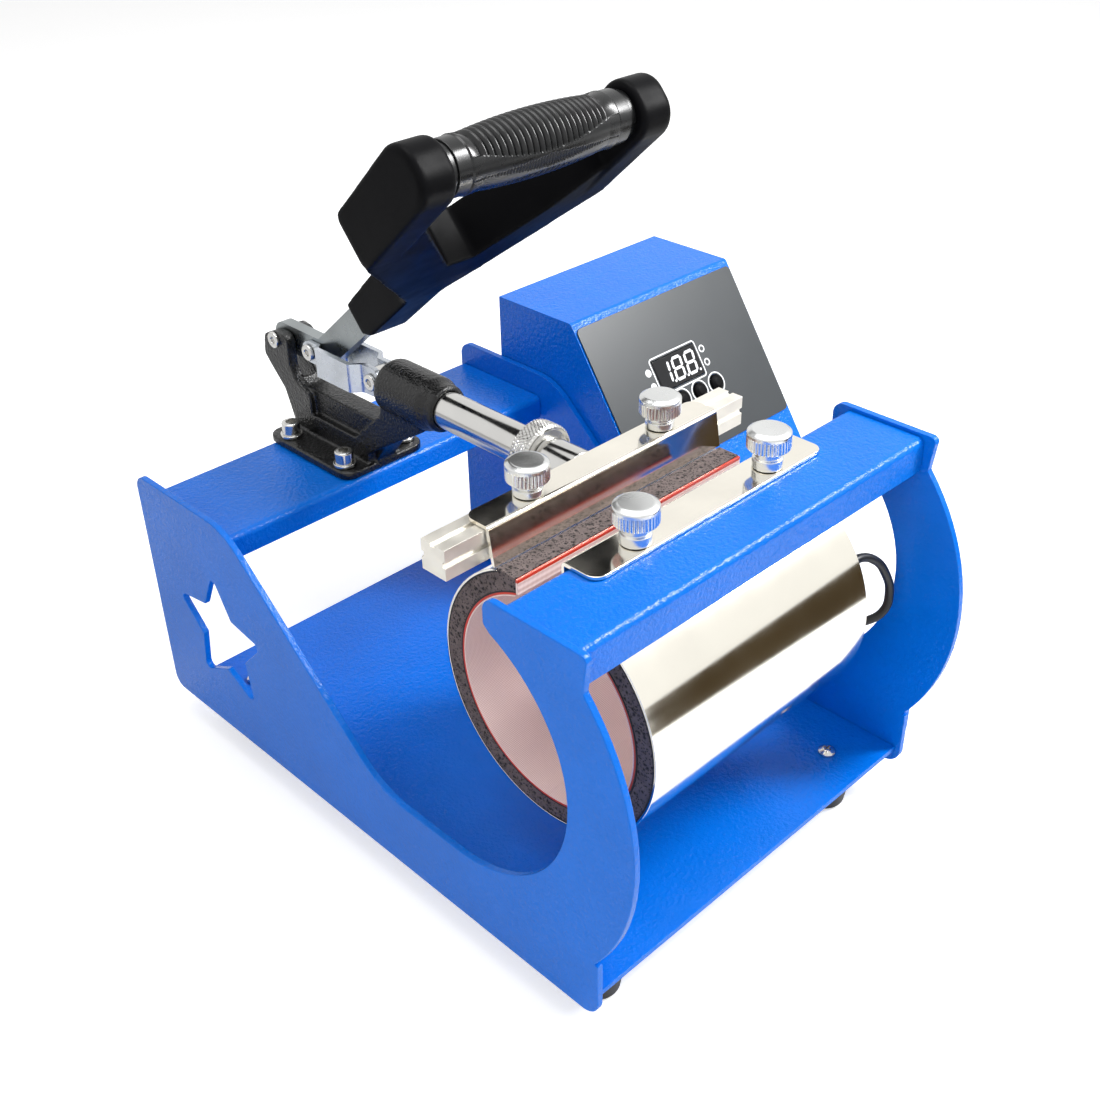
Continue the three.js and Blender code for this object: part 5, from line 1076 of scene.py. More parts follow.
# Hub, adjuster collar and plunger rod on the plunger's axis
on_axis = (CENTER_X, 0, AXIS_HEIGHT)
HUB_EDGE = 0.8
ROD_RADIUS = 8.4
ROD_NECK_RADIUS = 6
hub_low, hub_high = span("bar_hub")
hub_radius = (hub_high.x - hub_low.x) / 2
neck_hole = ROD_NECK_RADIUS + SEAT_GAP
hub_profile = [
    (0, hub_low.y),
    (hub_radius, hub_low.y, HUB_EDGE),
    (hub_radius, hub_high.y, HUB_EDGE),
    (neck_hole, hub_high.y),
    (neck_hole, hub_low.y + SEAT_GAP),
    (0, hub_low.y + SEAT_GAP),
]
stands_for(smooth(turned("hub", hub_profile, "y", on_axis)), turned_steel, "bar_hub")

COLLAR_RADIUS = 14
COLLAR_EDGE = 1.1
COLLAR_TEETH = 52
COLLAR_DEPTH = 0.55
COLLAR_RINGS = 26
KNURL_TEETH_PASSED = 3
collar_low, collar_high = span("adjuster_collar")
knurl_start = collar_low.y + COLLAR_EDGE
knurl_end = collar_high.y - COLLAR_EDGE
knurl_turn = 2 * pi / COLLAR_TEETH * KNURL_TEETH_PASSED


def diamond(angle, share):
    first = abs(sin((angle + knurl_turn * share) * COLLAR_TEETH / 2))
    second = abs(sin((angle - knurl_turn * share) * COLLAR_TEETH / 2))
    return COLLAR_DEPTH * (1 - min(first, second))


knurl_line = [
    (COLLAR_RADIUS, knurl_start + (knurl_end - knurl_start) * ring / COLLAR_RINGS)
    for ring in range(COLLAR_RINGS + 1)
]
collar_profile = [
    (neck_hole, collar_low.y),
    (neck_hole + 2 * COLLAR_EDGE, collar_low.y, COLLAR_EDGE / 2),
    (COLLAR_RADIUS - 2 * COLLAR_EDGE, collar_low.y + COLLAR_EDGE / 2, COLLAR_EDGE / 2),
    (COLLAR_RADIUS - COLLAR_EDGE, collar_low.y, COLLAR_EDGE / 2),
    *knurl_line,
    (COLLAR_RADIUS - COLLAR_EDGE, collar_high.y, COLLAR_EDGE / 2),
    (neck_hole, collar_high.y),
    (neck_hole, collar_low.y),
]
collar = turned("collar", collar_profile, "y", on_axis, COLLAR_TEETH * TOOTH_SIDES)
grooved(collar, "y", on_axis, knurl_start - WELD, knurl_end + WELD, diamond)
stands_for(smooth(collar), turned_steel, "adjuster_collar")

CLEVIS_THICKNESS = 6
CLEVIS_RADIUS = 6
CLEVIS_LENGTH = 12
PIN_RADIUS = 2.5
ROD_EDGE = 0.4
BARREL_LENGTH = 38.7
BARREL_RADIUS = 12.5
BARREL_LIP_RADIUS = 10.8
BARREL_ROUNDING = 4
LINK_FRONT_RADIUS = 7
rod_front = span("plunger_rod")[0].y
plunger_pin_y = middle_of("plunger_pin").y
lever_pivot_y = middle_of("lever_pivot_pin").y
toggle_pin_y = middle_of("toggle_rivet_left").y
barrel_rear = plunger_pin_y - LINK_FRONT_RADIUS - RUNNING_GAP
barrel_front = barrel_rear - BARREL_LENGTH
body_rear = barrel_rear - CLEVIS_LENGTH / 2
shoulder = collar_high.y + SEAT_GAP
rod_profile = [
    (0, rod_front),
    (ROD_NECK_RADIUS, rod_front, ROD_EDGE),
    (ROD_NECK_RADIUS, shoulder),
    (ROD_RADIUS, shoulder, ROD_EDGE),
    (ROD_RADIUS, body_rear, ROD_EDGE),
    (0, body_rear),
]
plunger = turned("plunger", rod_profile, "y", on_axis)
tongue = [
    (body_rear - OVERRUN, AXIS_HEIGHT + CLEVIS_RADIUS),
    *arc(plunger_pin_y, AXIS_HEIGHT, CLEVIS_RADIUS, 90, -90),
    (body_rear - OVERRUN, AXIS_HEIGHT - CLEVIS_RADIUS),
]
joined(plunger, slab("tongue", tongue, CLEVIS_THICKNESS))
combined(plunger, hole_across(plunger_pin_y, PIN_RADIUS + SEAT_GAP, CLEVIS_THICKNESS))
stands_for(smooth(plunger), turned_steel, "plunger_rod")

# Clamp base: flange, raised block, web, guide barrel and the two leaning ears in one casting
FLANGE_WIDTH = 48
FLANGE_LENGTH = 63.5
FLANGE_THICKNESS = 3.7
FLANGE_OVERHANG = 3
FLANGE_CORNER = 7
BLOCK_WIDTH = 18.5
BLOCK_INSET = 2
BLOCK_TOP = 10.5
EAR_THICKNESS = 5
EAR_GAP = 7
EAR_FRONT = 10
EAR_REAR = 11
EAR_TOP = 4.5
EAR_CORNER = 4
EAR_FOOT_LENGTH = 18
EAR_WAIST_RISE = 17
LEVER_LEG_WIDTH = 14
LEVER_PIVOT_INSET = 6
WEB_THICKNESS = 18
WEB_REACH = 28
RIB_THICKNESS = 11
RIB_TOP = 22
CASTING_VOXEL = 0.6
CASTING_SMOOTHING = 4
CASTING_ANGLE = radians(50)
flange_rear = FLANGE_OVERHANG
flange_front = flange_rear - FLANGE_LENGTH
flange_bottom = rear_bar_high.z + SEAT_GAP
flange_top = flange_bottom + FLANGE_THICKNESS
casting_foot = flange_top - OVERRUN
block_top = flange_top + BLOCK_TOP
half_flange = FLANGE_WIDTH / 2
flange_plan = rectangle(
    CENTER_X - half_flange, CENTER_X + half_flange, flange_front, flange_rear, FLANGE_CORNER
)
casting = drawn("casting", flange_plan, flange_bottom, flange_top, "z")
block_front = flange_front + BLOCK_INSET
block_rear = flange_rear - FLANGE_CORNER / 2
ear_front = lever_pivot_y - EAR_FRONT
block_outline = [
    (block_front, casting_foot),
    (block_front, block_top, BLOCK_TOP / 4),
    (ear_front - EAR_FOOT_LENGTH, block_top, BLOCK_TOP / 2),
    (block_rear, flange_top + BLOCK_TOP / 2, BLOCK_TOP / 4),
    (block_rear, casting_foot),
]
web_front = barrel_rear - WEB_REACH
web_rear = barrel_rear - OVERRUN
web_outline = [
    (block_front + BLOCK_TOP, block_top - OVERRUN),
    (block_front, block_top - BLOCK_TOP / 2),
    (web_front, AXIS_HEIGHT - BARREL_RADIUS, BARREL_ROUNDING),
    (web_front, AXIS_HEIGHT - ROD_RADIUS),
    (web_rear, AXIS_HEIGHT - ROD_RADIUS),
    (web_rear, AXIS_HEIGHT - BARREL_RADIUS, BARREL_ROUNDING),
]
rib_top = flange_top + RIB_TOP
rib_outline = [
    (block_front, casting_foot),
    (barrel_rear - 2 * BARREL_ROUNDING, rib_top),
    (ear_front - 2 * EAR_CORNER, rib_top, EAR_CORNER),
    (ear_front - EAR_CORNER, rib_top + EAR_CORNER),
    (block_rear, casting_foot),
]
raised_block = slab("raised_block", rounded(block_outline), BLOCK_WIDTH)
web = slab("web", rounded(web_outline), WEB_THICKNESS)
rib = slab("rib", rounded(rib_outline), RIB_THICKNESS)
barrel_profile = [
    (0, barrel_front),
    (BARREL_LIP_RADIUS, barrel_front, BARREL_ROUNDING / 2),
    (BARREL_LIP_RADIUS, barrel_front + BARREL_ROUNDING, BARREL_ROUNDING / 4),
    (BARREL_RADIUS, barrel_front + 2 * BARREL_ROUNDING, BARREL_ROUNDING / 2),
    (BARREL_RADIUS, barrel_rear, BARREL_ROUNDING),
    (0, barrel_rear),
]
barrel = turned("barrel", barrel_profile, "y", on_axis)
waist_z = flange_top + EAR_WAIST_RISE
ear_top = AXIS_HEIGHT + EAR_TOP
ear_rear = lever_pivot_y + EAR_REAR
ear_foot_front = flange_rear - EAR_FOOT_LENGTH
ear_outline = rounded(
    [
        (ear_foot_front, casting_foot),
        (block_rear, casting_foot),
        (flange_rear + LEVER_PIVOT_INSET / 2, waist_z, EAR_CORNER),
        (ear_rear, (waist_z + ear_top) / 2, EAR_CORNER),
        (ear_rear - EAR_CORNER / 2, ear_top - EAR_CORNER, EAR_CORNER),
        (lever_pivot_y, ear_top, EAR_CORNER),
        (ear_front, ear_top, EAR_CORNER),
        (ear_front, AXIS_HEIGHT - LEVER_LEG_WIDTH / 2 - EAR_CORNER, EAR_CORNER),
        (ear_front - EAR_CORNER, rib_top + EAR_CORNER / 2, EAR_CORNER),
        (ear_foot_front, rib_top - EAR_CORNER / 2, EAR_CORNER),
    ]
)
ears = []
for sign in (-1, 1):
    faces = sorted((CENTER_X + sign * EAR_GAP / 2, CENTER_X + sign * (EAR_GAP / 2 + EAR_THICKNESS)))
    ears.append(drawn("ear", ear_outline, *faces))
joined(casting, raised_block, web, rib, barrel, *ears)
remeshed(casting, CASTING_VOXEL, CASTING_SMOOTHING)
bore_radius = ROD_RADIUS + RUNNING_GAP
combined(casting, rod("bore", bore_radius, barrel_front - OVERRUN, barrel_rear + OVERRUN, "y", on_axis))
combined(casting, hole_across(lever_pivot_y, PIN_RADIUS + SEAT_GAP, half_flange))
for node in CLAMP_BOLTS:
    combined(casting, hole_down(middle_of(node), BOLT_RADIUS + SEAT_GAP, flange_bottom, flange_top))
stands_for(smooth(casting, CASTING_ANGLE), black_casting, "clamp_base")

# Socket-head bolts with washers and nuts
BOLT_HEAD_RADIUS = 4.4
BOLT_SOCKET_RADIUS = 2.6
BOLT_SOCKET_DEPTH = 3
BOLT_WASHER_RADIUS = 5.4
BOLT_WASHER_THICKNESS = 1.4
BOLT_EDGE = 0.5
NUT_RADIUS = 5.7
NUT_HEIGHT = 5
HEX_SIDES = 6


def hexagon(name, radius, center, low_z, high_z):
    points = []
    for side in range(HEX_SIDES):
        angle = 2 * pi * side / HEX_SIDES
        points.append((center.x + radius * cos(angle), center.y + radius * sin(angle)))
    return drawn(name, points, low_z, high_z, "z")


washer_bottom = flange_top + SEAT_GAP
washer_top = washer_bottom + BOLT_WASHER_THICKNESS
nut_top = rear_bar_high.z - SHEET - SEAT_GAP
for node in CLAMP_BOLTS:
    low, high = span(node)
    center = (low + high) / 2
    profile = [
        (0, low.z),
        (BOLT_RADIUS, low.z, BOLT_EDGE),
        (BOLT_RADIUS, washer_bottom),
        (BOLT_WASHER_RADIUS, washer_bottom, BOLT_EDGE / 2),
        (BOLT_WASHER_RADIUS, washer_top, BOLT_EDGE / 2),
        (BOLT_HEAD_RADIUS, washer_top),
        (BOLT_HEAD_RADIUS, high.z, 2 * BOLT_EDGE),
        (0, high.z),
    ]
    bolt = turned("bolt", profile, "z", (center.x, center.y, 0))
    joined(bolt, hexagon("nut", NUT_RADIUS, center, nut_top - NUT_HEIGHT, nut_top))
    socket_floor = high.z - BOLT_SOCKET_DEPTH
    combined(bolt, hexagon("socket", BOLT_SOCKET_RADIUS, center, socket_floor, high.z + OVERRUN))
    stands_for(smooth(bolt), turned_steel, node)

# Links with a bulge, their rivets and the pins
LINK_THICKNESS = 2.5
LINK_END_RADIUS = 5.2
LINK_RISE = 6.5
LINK_DROP = 7.5
LINK_BULGE = 4.5
LINK_BULGE_LENGTH = 25
LEVER_THICKNESS = 6
LINK_FOLD = 2.5
LINK_EDGE = 0.3
EYELET_RADIUS = 4
EYELET_HOLLOW = 1.6
EYELET_HEIGHT = 1.4
EYELET_EDGE = 0.6
link_inside = LEVER_THICKNESS / 2 + RUNNING_GAP
bow_rear = (toggle_pin_y + plunger_pin_y + LINK_BULGE_LENGTH) / 2
bow_front = bow_rear - LINK_BULGE_LENGTH
link_bottom = AXIS_HEIGHT - LINK_DROP
link_top = AXIS_HEIGHT + LINK_RISE


def link(sign):
    inside = link_inside
    bowed = inside + LINK_BULGE
    line = [
        (inside, toggle_pin_y + LINK_END_RADIUS, 0),
        (inside, bow_rear + LINK_BULGE, LINK_FOLD),
        (bowed, bow_rear, LINK_FOLD),
        (bowed, bow_front, LINK_FOLD),
        (inside, bow_front - LINK_BULGE, LINK_FOLD),
        (inside, plunger_pin_y - LINK_FRONT_RADIUS, 0),
    ]
    corners = line + [(x + LINK_THICKNESS, y, radius) for x, y, radius in reversed(line)]
    plan = rounded([(CENTER_X + sign * x, y, radius) for x, y, radius in corners])
    strip = drawn("strip", plan, link_bottom - OVERRUN, link_top + OVERRUN, "z")
    side_view = rounded(
        [
            *arc(toggle_pin_y, AXIS_HEIGHT, LINK_END_RADIUS, -90, 90),
            (bow_rear + LINK_BULGE, AXIS_HEIGHT + LINK_END_RADIUS, LINK_END_RADIUS),
            (bow_rear, link_top, LINK_END_RADIUS),
            (bow_front, link_top, LINK_END_RADIUS),
            *arc(plunger_pin_y, AXIS_HEIGHT, LINK_FRONT_RADIUS, 90, 270),
            (bow_front, link_bottom, LINK_END_RADIUS),
            (bow_rear, link_bottom, LINK_END_RADIUS),
            (bow_rear + LINK_BULGE, AXIS_HEIGHT - LINK_END_RADIUS, LINK_END_RADIUS),
        ]
    )
    reach = bowed + LINK_THICKNESS + OVERRUN
    common(strip, slab("side_view", side_view, 2 * reach))
    for y in (toggle_pin_y, plunger_pin_y):
        combined(strip, hole_across(y, PIN_RADIUS + RUNNING_GAP, reach))
    return eased(strip, LINK_EDGE, 2)


def eyelet_profile(inner, outer, sign):
    """Half a rivet: its shank from inner to outer, then a hollow rolled head."""
    return [
        (0, sign * inner),
        (PIN_RADIUS, sign * inner),
        (PIN_RADIUS, sign * outer),
        (EYELET_RADIUS, sign * outer),
        (EYELET_RADIUS, sign * (outer + EYELET_HEIGHT), EYELET_EDGE),
        (EYELET_HOLLOW, sign * (outer + EYELET_HEIGHT), EYELET_EDGE),
        (EYELET_HOLLOW, sign * outer),
        (0, sign * outer),
    ]


link_face = link_inside + LINK_THICKNESS + SEAT_GAP
for word, sign in (("left", -1), ("right", 1)):
    stands_for(link(sign), link_steel, "link_" + word)
    profile = eyelet_profile(link_inside, link_face, sign)
    rivet = turned("rivet", profile, "x", (CENTER_X, toggle_pin_y, AXIS_HEIGHT))
    stands_for(smooth(rivet), turned_steel, "toggle_rivet_" + word)
for node, y, outer in (
    ("plunger_pin", plunger_pin_y, link_face),
    ("lever_pivot_pin", lever_pivot_y, EAR_GAP / 2 + EAR_THICKNESS + SEAT_GAP),
):
    half_pin = eyelet_profile(0, outer, 1)[1:]
    profile = [(radius, -along, *edge) for radius, along, *edge in reversed(half_pin)] + half_pin
    stands_for(smooth(turned("pin", profile, "x", (CENTER_X, y, AXIS_HEIGHT))), turned_steel, node)

# Lever and handle, drawn in a frame at the toggle pin whose Z runs up the raised arm
HANDLE_RAISE = 40.5
LEVER_TIP = 9
LEVER_ARM_WIDTH = 14
LEVER_ARM_LENGTH = 96
LEVER_ARM_DROP = 4.6
LEVER_EDGE = 0.5
to_handle = Matrix.Translation((CENTER_X, toggle_pin_y, AXIS_HEIGHT)) @ Matrix.Rotation(
    radians(90 - HANDLE_RAISE), 4, "X"
)
half_lever = LEVER_THICKNESS / 2
half_leg = LEVER_LEG_WIDTH / 2
leg_outline = rounded(
    [
        (toggle_pin_y - LEVER_TIP, AXIS_HEIGHT - half_leg, half_leg / 2),
        *arc(lever_pivot_y, AXIS_HEIGHT, half_leg, -90, 90),
        (toggle_pin_y - LEVER_TIP, AXIS_HEIGHT + half_leg, half_leg / 4),
    ]
)
lever = slab("lever", leg_outline, LEVER_THICKNESS)
arm_low = -LEVER_ARM_DROP - LEVER_ARM_WIDTH / 2
arm_high = -LEVER_ARM_DROP + LEVER_ARM_WIDTH / 2
arm = block("arm", (-half_lever, arm_low, 0), (half_lever, arm_high, LEVER_ARM_LENGTH))
arm.data.transform(to_handle)
joined(lever, arm)
for y in (toggle_pin_y, lever_pivot_y):
    combined(lever, hole_across(y, PIN_RADIUS + RUNNING_GAP, half_leg))
stands_for(eased(lever, LEVER_EDGE), brushed_steel, "lever_arm")
toggle_pin = rod("pin", PIN_RADIUS, -half_lever, half_lever, "x", (CENTER_X, toggle_pin_y, AXIS_HEIGHT))
stands_for(smooth(toggle_pin), turned_steel, "toggle_pin")

HANDLE_STEM_START = 53
HANDLE_STEM_HALF = 10
HANDLE_FORK_START = 95
HANDLE_FORK_END = 156
HANDLE_HALF_WIDTH = 62
HANDLE_STEM_TOP = 2
HANDLE_STEM_DEPTH = 12
HANDLE_BELLY_START = 59
HANDLE_BELLY_END = 112
HANDLE_BELLY_DEPTH = 16
HANDLE_THICKNESS = 18.6
HANDLE_CAP_WIDTH = 16
HANDLE_CAP_RADIUS = 12.8
HANDLE_CAP_DEPTH = 14.5
HANDLE_CROTCH = 128
HANDLE_CROTCH_HALF = 7
HANDLE_OPENING_END = 178
HANDLE_EDGE = 2
HANDLE_VOXEL = 0.8
HANDLE_SMOOTHING = 5
HANDLE_ANGLE = radians(60)
GRIP_DISTANCE = 196
half_thickness = HANDLE_THICKNESS / 2
cap_inside = HANDLE_HALF_WIDTH - HANDLE_CAP_WIDTH
cap_end = GRIP_DISTANCE - HANDLE_CAP_RADIUS / 2
right_side = [
    (HANDLE_STEM_HALF, HANDLE_STEM_START, HANDLE_EDGE),
    (HANDLE_STEM_HALF, HANDLE_FORK_START, HANDLE_STEM_HALF),
    (HANDLE_HALF_WIDTH, HANDLE_FORK_END, HANDLE_STEM_HALF),
    (HANDLE_HALF_WIDTH, cap_end, HANDLE_EDGE),
    (cap_inside, cap_end, HANDLE_EDGE),
    (cap_inside, HANDLE_OPENING_END, HANDLE_EDGE),
    (HANDLE_CROTCH_HALF, HANDLE_CROTCH, HANDLE_EDGE),
]
left_side = [(-x, z, radius) for x, z, radius in reversed(right_side)]
fork = drawn("fork", rounded(right_side + left_side), -HANDLE_BELLY_DEPTH, half_thickness, "y")
side_outline = rounded(
    [
        (-HANDLE_STEM_DEPTH, HANDLE_STEM_START),
        (-HANDLE_BELLY_DEPTH, HANDLE_BELLY_START, HANDLE_EDGE),
        (-HANDLE_BELLY_DEPTH, HANDLE_BELLY_END, HANDLE_HALF_WIDTH),
        (-HANDLE_CAP_DEPTH, HANDLE_FORK_END, HANDLE_HALF_WIDTH),
        (HANDLE_EDGE - HANDLE_CAP_RADIUS, cap_end),
        (half_thickness, cap_end),
        (half_thickness, HANDLE_FORK_END, HANDLE_HALF_WIDTH),
        (HANDLE_STEM_TOP, HANDLE_STEM_START),
    ]
)
common(fork, drawn("side", side_outline, -HANDLE_HALF_WIDTH - OVERRUN, HANDLE_HALF_WIDTH + OVERRUN))
cap_start = HANDLE_FORK_END - HANDLE_EDGE
cap_top = GRIP_DISTANCE + HANDLE_CAP_RADIUS
cap_rounding = HANDLE_CAP_RADIUS - HANDLE_EDGE
cap_outline = rounded(
    [
        (-HANDLE_CAP_DEPTH, cap_start, 2 * HANDLE_EDGE),
        (half_thickness, cap_start, 2 * HANDLE_EDGE),
        (HANDLE_CAP_RADIUS, cap_top, cap_rounding),
        (-HANDLE_CAP_RADIUS, cap_top, cap_rounding),
    ]
)
for sign in (-1, 1):
    start, end = sorted((sign * cap_inside, sign * HANDLE_HALF_WIDTH))
    joined(fork, eased(drawn("cap", cap_outline, start, end), HANDLE_EDGE, 4))
remeshed(fork, HANDLE_VOXEL, HANDLE_SMOOTHING)
socket_half = half_lever + SEAT_GAP
arm_socket = block(
    "arm_socket",
    (-socket_half, arm_low - SEAT_GAP, HANDLE_STEM_START - OVERRUN),
    (socket_half, arm_high + SEAT_GAP, LEVER_ARM_LENGTH + SEAT_GAP),
)
combined(fork, arm_socket)
fork.data.transform(to_handle)
stands_for(smooth(fork, HANDLE_ANGLE), black_plastic, "handle_fork")

GRIP_NECK_RADIUS = 9.8
GRIP_NECK_LENGTH = 9
GRIP_RIB_RADIUS = 12.2
GRIP_VALLEY_RADIUS = 10.9
GRIP_RIBS = 22
GRIP_RIBBED_LENGTH = 62
GRIP_RIB_STEPS = 8
GRIP_RING_DEPTH = 0.7
GRIP_END_RADIUS = 10.6
GRIP_ANGLE = radians(45)
RIB_MIDDLE = radians(60)
RIB_REACH = radians(72)
RIB_REACH_LOSS = radians(26)
COMB_MIDDLE = radians(150)
COMB_REACH = radians(6)
COMB_LENGTH_SHARE = 0.5
grip_end = cap_inside - SEAT_GAP
ribbed_half = GRIP_RIBBED_LENGTH / 2
ring_radius = GRIP_NECK_RADIUS + GRIP_RING_DEPTH
ring_round = GRIP_RING_DEPTH / 2
ring_start = grip_end - GRIP_NECK_LENGTH / 3
ring_end = grip_end - GRIP_NECK_LENGTH
neck_line = [
    (GRIP_NECK_RADIUS, grip_end),
    (GRIP_NECK_RADIUS, ring_start),
    (ring_radius, ring_start, ring_round),
    (ring_radius, ring_end, ring_round),
    (GRIP_VALLEY_RADIUS, ring_end - GRIP_RING_DEPTH, ring_round),
]
rib_steps = GRIP_RIBS * GRIP_RIB_STEPS
rib_line = [
    (GRIP_RIB_RADIUS, -ribbed_half + GRIP_RIBBED_LENGTH * step / rib_steps)
    for step in range(rib_steps + 1)
]
grip_profile = [
    (0, -grip_end),
    *[(radius, -along, *edge) for radius, along, *edge in neck_line],
    *rib_line,
    *reversed(neck_line),
    (0, grip_end),
]


def away_from(angle, middle):
    """Angle to the nearer of two opposite lines round the grip."""
    return abs((angle - middle + pi / 2) % pi - pi / 2)


def grip_relief(angle, share):
    """A grip fuller in the middle, with an oval of ribs on two sides and fine bars between them."""
    along = 2 * share - 1
    depth = (GRIP_RIB_RADIUS - GRIP_END_RADIUS) * along**2
    rib_depth = GRIP_RIB_RADIUS - GRIP_VALLEY_RADIUS
    if away_from(angle, RIB_MIDDLE) < RIB_REACH - RIB_REACH_LOSS * along**2:
        depth += rib_depth * (1 - abs(sin(pi * GRIP_RIBS * share)))
    elif away_from(angle, COMB_MIDDLE) < COMB_REACH * (1 - abs(along)) / COMB_LENGTH_SHARE:
        depth += rib_depth / 2 * (1 - abs(sin(2 * pi * GRIP_RIBS * share)))
    return depth


grip_place = (0, 0, GRIP_DISTANCE)
grip = turned("grip", grip_profile, "x", grip_place, 3 * ROUND_SIDES)
grooved(grip, "x", grip_place, -ribbed_half - WELD, ribbed_half + WELD, grip_relief)
grip.data.transform(to_handle)
stands_for(smooth(grip, GRIP_ANGLE), grip_rubber, "handle_grip")

# Control box: folded shell with a sloping panel, open at the back
BOX_WALL = 1.5
BOX_CORNER = 2.5
BOX_EDGE = 0.4
BOX_SLOPE = radians(56)
BOX_TOP_DEPTH = 51.5
BOX_FRONT_HEIGHT = 16
DISPLAY_X = 53.8
DISPLAY_DOWN = 41.8
DISPLAY_WIDTH = 31.5
DISPLAY_HEIGHT = 16.5
BUTTON_DOWN = 57.5
BUTTON_MIDDLE_X = 61.7
BUTTON_PITCH = 13.2
BUTTON_RADIUS = 4.25
BUTTON_NODES = ("set_button", "down_button", "up_button")
GROMMET_RADIUS = 5
box_low, box_high = span("control_box")
slope_top_y = box_high.y - BOX_TOP_DEPTH
to_slope = Matrix.Translation((box_low.x, slope_top_y, box_high.z)) @ Matrix.Rotation(BOX_SLOPE, 4, "X")


def box_outline(wall, rear_y, corner):
    shift = wall * tan(BOX_SLOPE / 2)
    foot = box_low.z + BOX_FRONT_HEIGHT + wall * tan(BOX_SLOPE) - wall / cos(BOX_SLOPE)
    return rounded(
        [
            (rear_y, box_low.z + wall),
            (rear_y, box_high.z - wall),
            (slope_top_y + shift, box_high.z - wall, corner),
            (box_low.y + wall, foot, corner),
            (box_low.y + wall, box_low.z + wall, corner),
        ]
    )


def button_x(index):
    return BUTTON_MIDDLE_X + (index - 1) * BUTTON_PITCH


def window_outline(margin, corner=0):
    """The display's rectangle with a margin round it."""
    half_x = DISPLAY_WIDTH / 2 + margin
    half_y = DISPLAY_HEIGHT / 2 + margin
    return rectangle(
        DISPLAY_X - half_x, DISPLAY_X + half_x, -DISPLAY_DOWN - half_y, -DISPLAY_DOWN + half_y, corner
    )


def panel_cutters(low, high):
    """Display window and button holes through the sloping panel."""
    cutters = [drawn("window", window_outline(SEAT_GAP), low, high, "z")]
    for index in range(len(BUTTON_NODES)):
        place = (button_x(index), -BUTTON_DOWN, 0)
        cutters.append(rod("hole", BUTTON_RADIUS + RUNNING_GAP, low, high, "z", place))
    return cutters


def on_slope(obj):
    obj.data.transform(to_slope)
    return obj


box = drawn("box", box_outline(0, box_high.y, BOX_CORNER), box_low.x, box_high.x)
hollow_outline = box_outline(BOX_WALL, box_high.y + OVERRUN, BOX_CORNER - BOX_WALL)
hollow = drawn("hollow", hollow_outline, box_low.x + BOX_WALL, box_high.x - BOX_WALL)
cutters = [on_slope(cutter) for cutter in panel_cutters(-BOX_WALL - OVERRUN, OVERRUN)]
grommet = middle_of("lead_grommet")
grommet_hole = rod(
    "hole",
    GROMMET_RADIUS + SEAT_GAP,
    box_low.y - OVERRUN,
    box_low.y + BOX_WALL + OVERRUN,
    "y",
    (grommet.x, 0, grommet.z),
)
combined(box, hollow, *cutters, grommet_hole)
stands_for(eased(box, BOX_EDGE, 2), blue_paint, "control_box")

# Panel overlay with its printed frame, rings and dots
OVERLAY_MARGIN = 1
OVERLAY_TOP = 3.7
OVERLAY_BOTTOM = 87
OVERLAY_THICKNESS = 0.6
OVERLAY_CORNER = 3
OVERLAY_EDGE = 0.15
PRINT_THICKNESS = 0.05
overlay_face = SEAT_GAP + OVERLAY_THICKNESS
overlay_right = box_high.x - box_low.x - OVERLAY_MARGIN
overlay_outline = rectangle(OVERLAY_MARGIN, overlay_right, -OVERLAY_BOTTOM, -OVERLAY_TOP, OVERLAY_CORNER)
overlay = drawn("overlay", overlay_outline, SEAT_GAP, overlay_face, "z")
combined(overlay, *panel_cutters(0, overlay_face + OVERRUN))
stands_for(on_slope(eased(overlay, OVERLAY_EDGE, 2)), overlay_film, "panel_overlay")

PRINT_LINE = 0.7
FRAME_MARGIN = 1.1
FRAME_CORNER = 2.2
DOT_RADIUS = 2
RING_MARGIN = 1
DOT_ROWS = (38, 45.5)
LEFT_DOT_X = 33.3
RIGHT_DOT_X = 74.6
print_top = overlay_face + PRINT_THICKNESS


def printed(name, outer, inner=None):
    """A flat print on the overlay: an outline, with another one left out of it."""
    mark = drawn("mark", outer, overlay_face, print_top, "z")
    if inner:
        combined(mark, drawn("inner", inner, overlay_face - OVERRUN, print_top + OVERRUN, "z"))
    stands_for(on_slope(mark), print_white, "panel_overlay", "print_" + name)


def circle(center_u, center_v, radius):
    return arc(center_u, center_v, radius, 0, 360)[:-1]


frame_outer = window_outline(FRAME_MARGIN + PRINT_LINE, FRAME_CORNER)
frame_inner = window_outline(FRAME_MARGIN, FRAME_CORNER - PRINT_LINE)
printed("window_frame", frame_outer, frame_inner)
for row, down in enumerate(DOT_ROWS):
    printed(f"left_dot_{row}", circle(LEFT_DOT_X, -down, DOT_RADIUS))
    ring = [circle(RIGHT_DOT_X, -down, radius) for radius in (DOT_RADIUS, DOT_RADIUS - PRINT_LINE)]
    printed(f"right_dot_{row}", *ring)
for index, node in enumerate(BUTTON_NODES):
    ring_inner = BUTTON_RADIUS + RING_MARGIN
    ring = [
        circle(button_x(index), -BUTTON_DOWN, radius) for radius in (ring_inner + PRINT_LINE, ring_inner)
    ]
    printed(node + "_ring", *ring)

# Display with three plain seven-segment digits
DISPLAY_STAND = 0.4
BOARD_DEPTH = 12
DISPLAY_EDGE = 0.6
display_face = overlay_face + DISPLAY_STAND
digit_bottom = display_face - PRINT_THICKNESS
display = drawn("display", window_outline(0), -BOARD_DEPTH + SEAT_GAP, digit_bottom, "z")
stands_for(on_slope(eased(display, DISPLAY_EDGE, 3)), display_glass, "display_module")

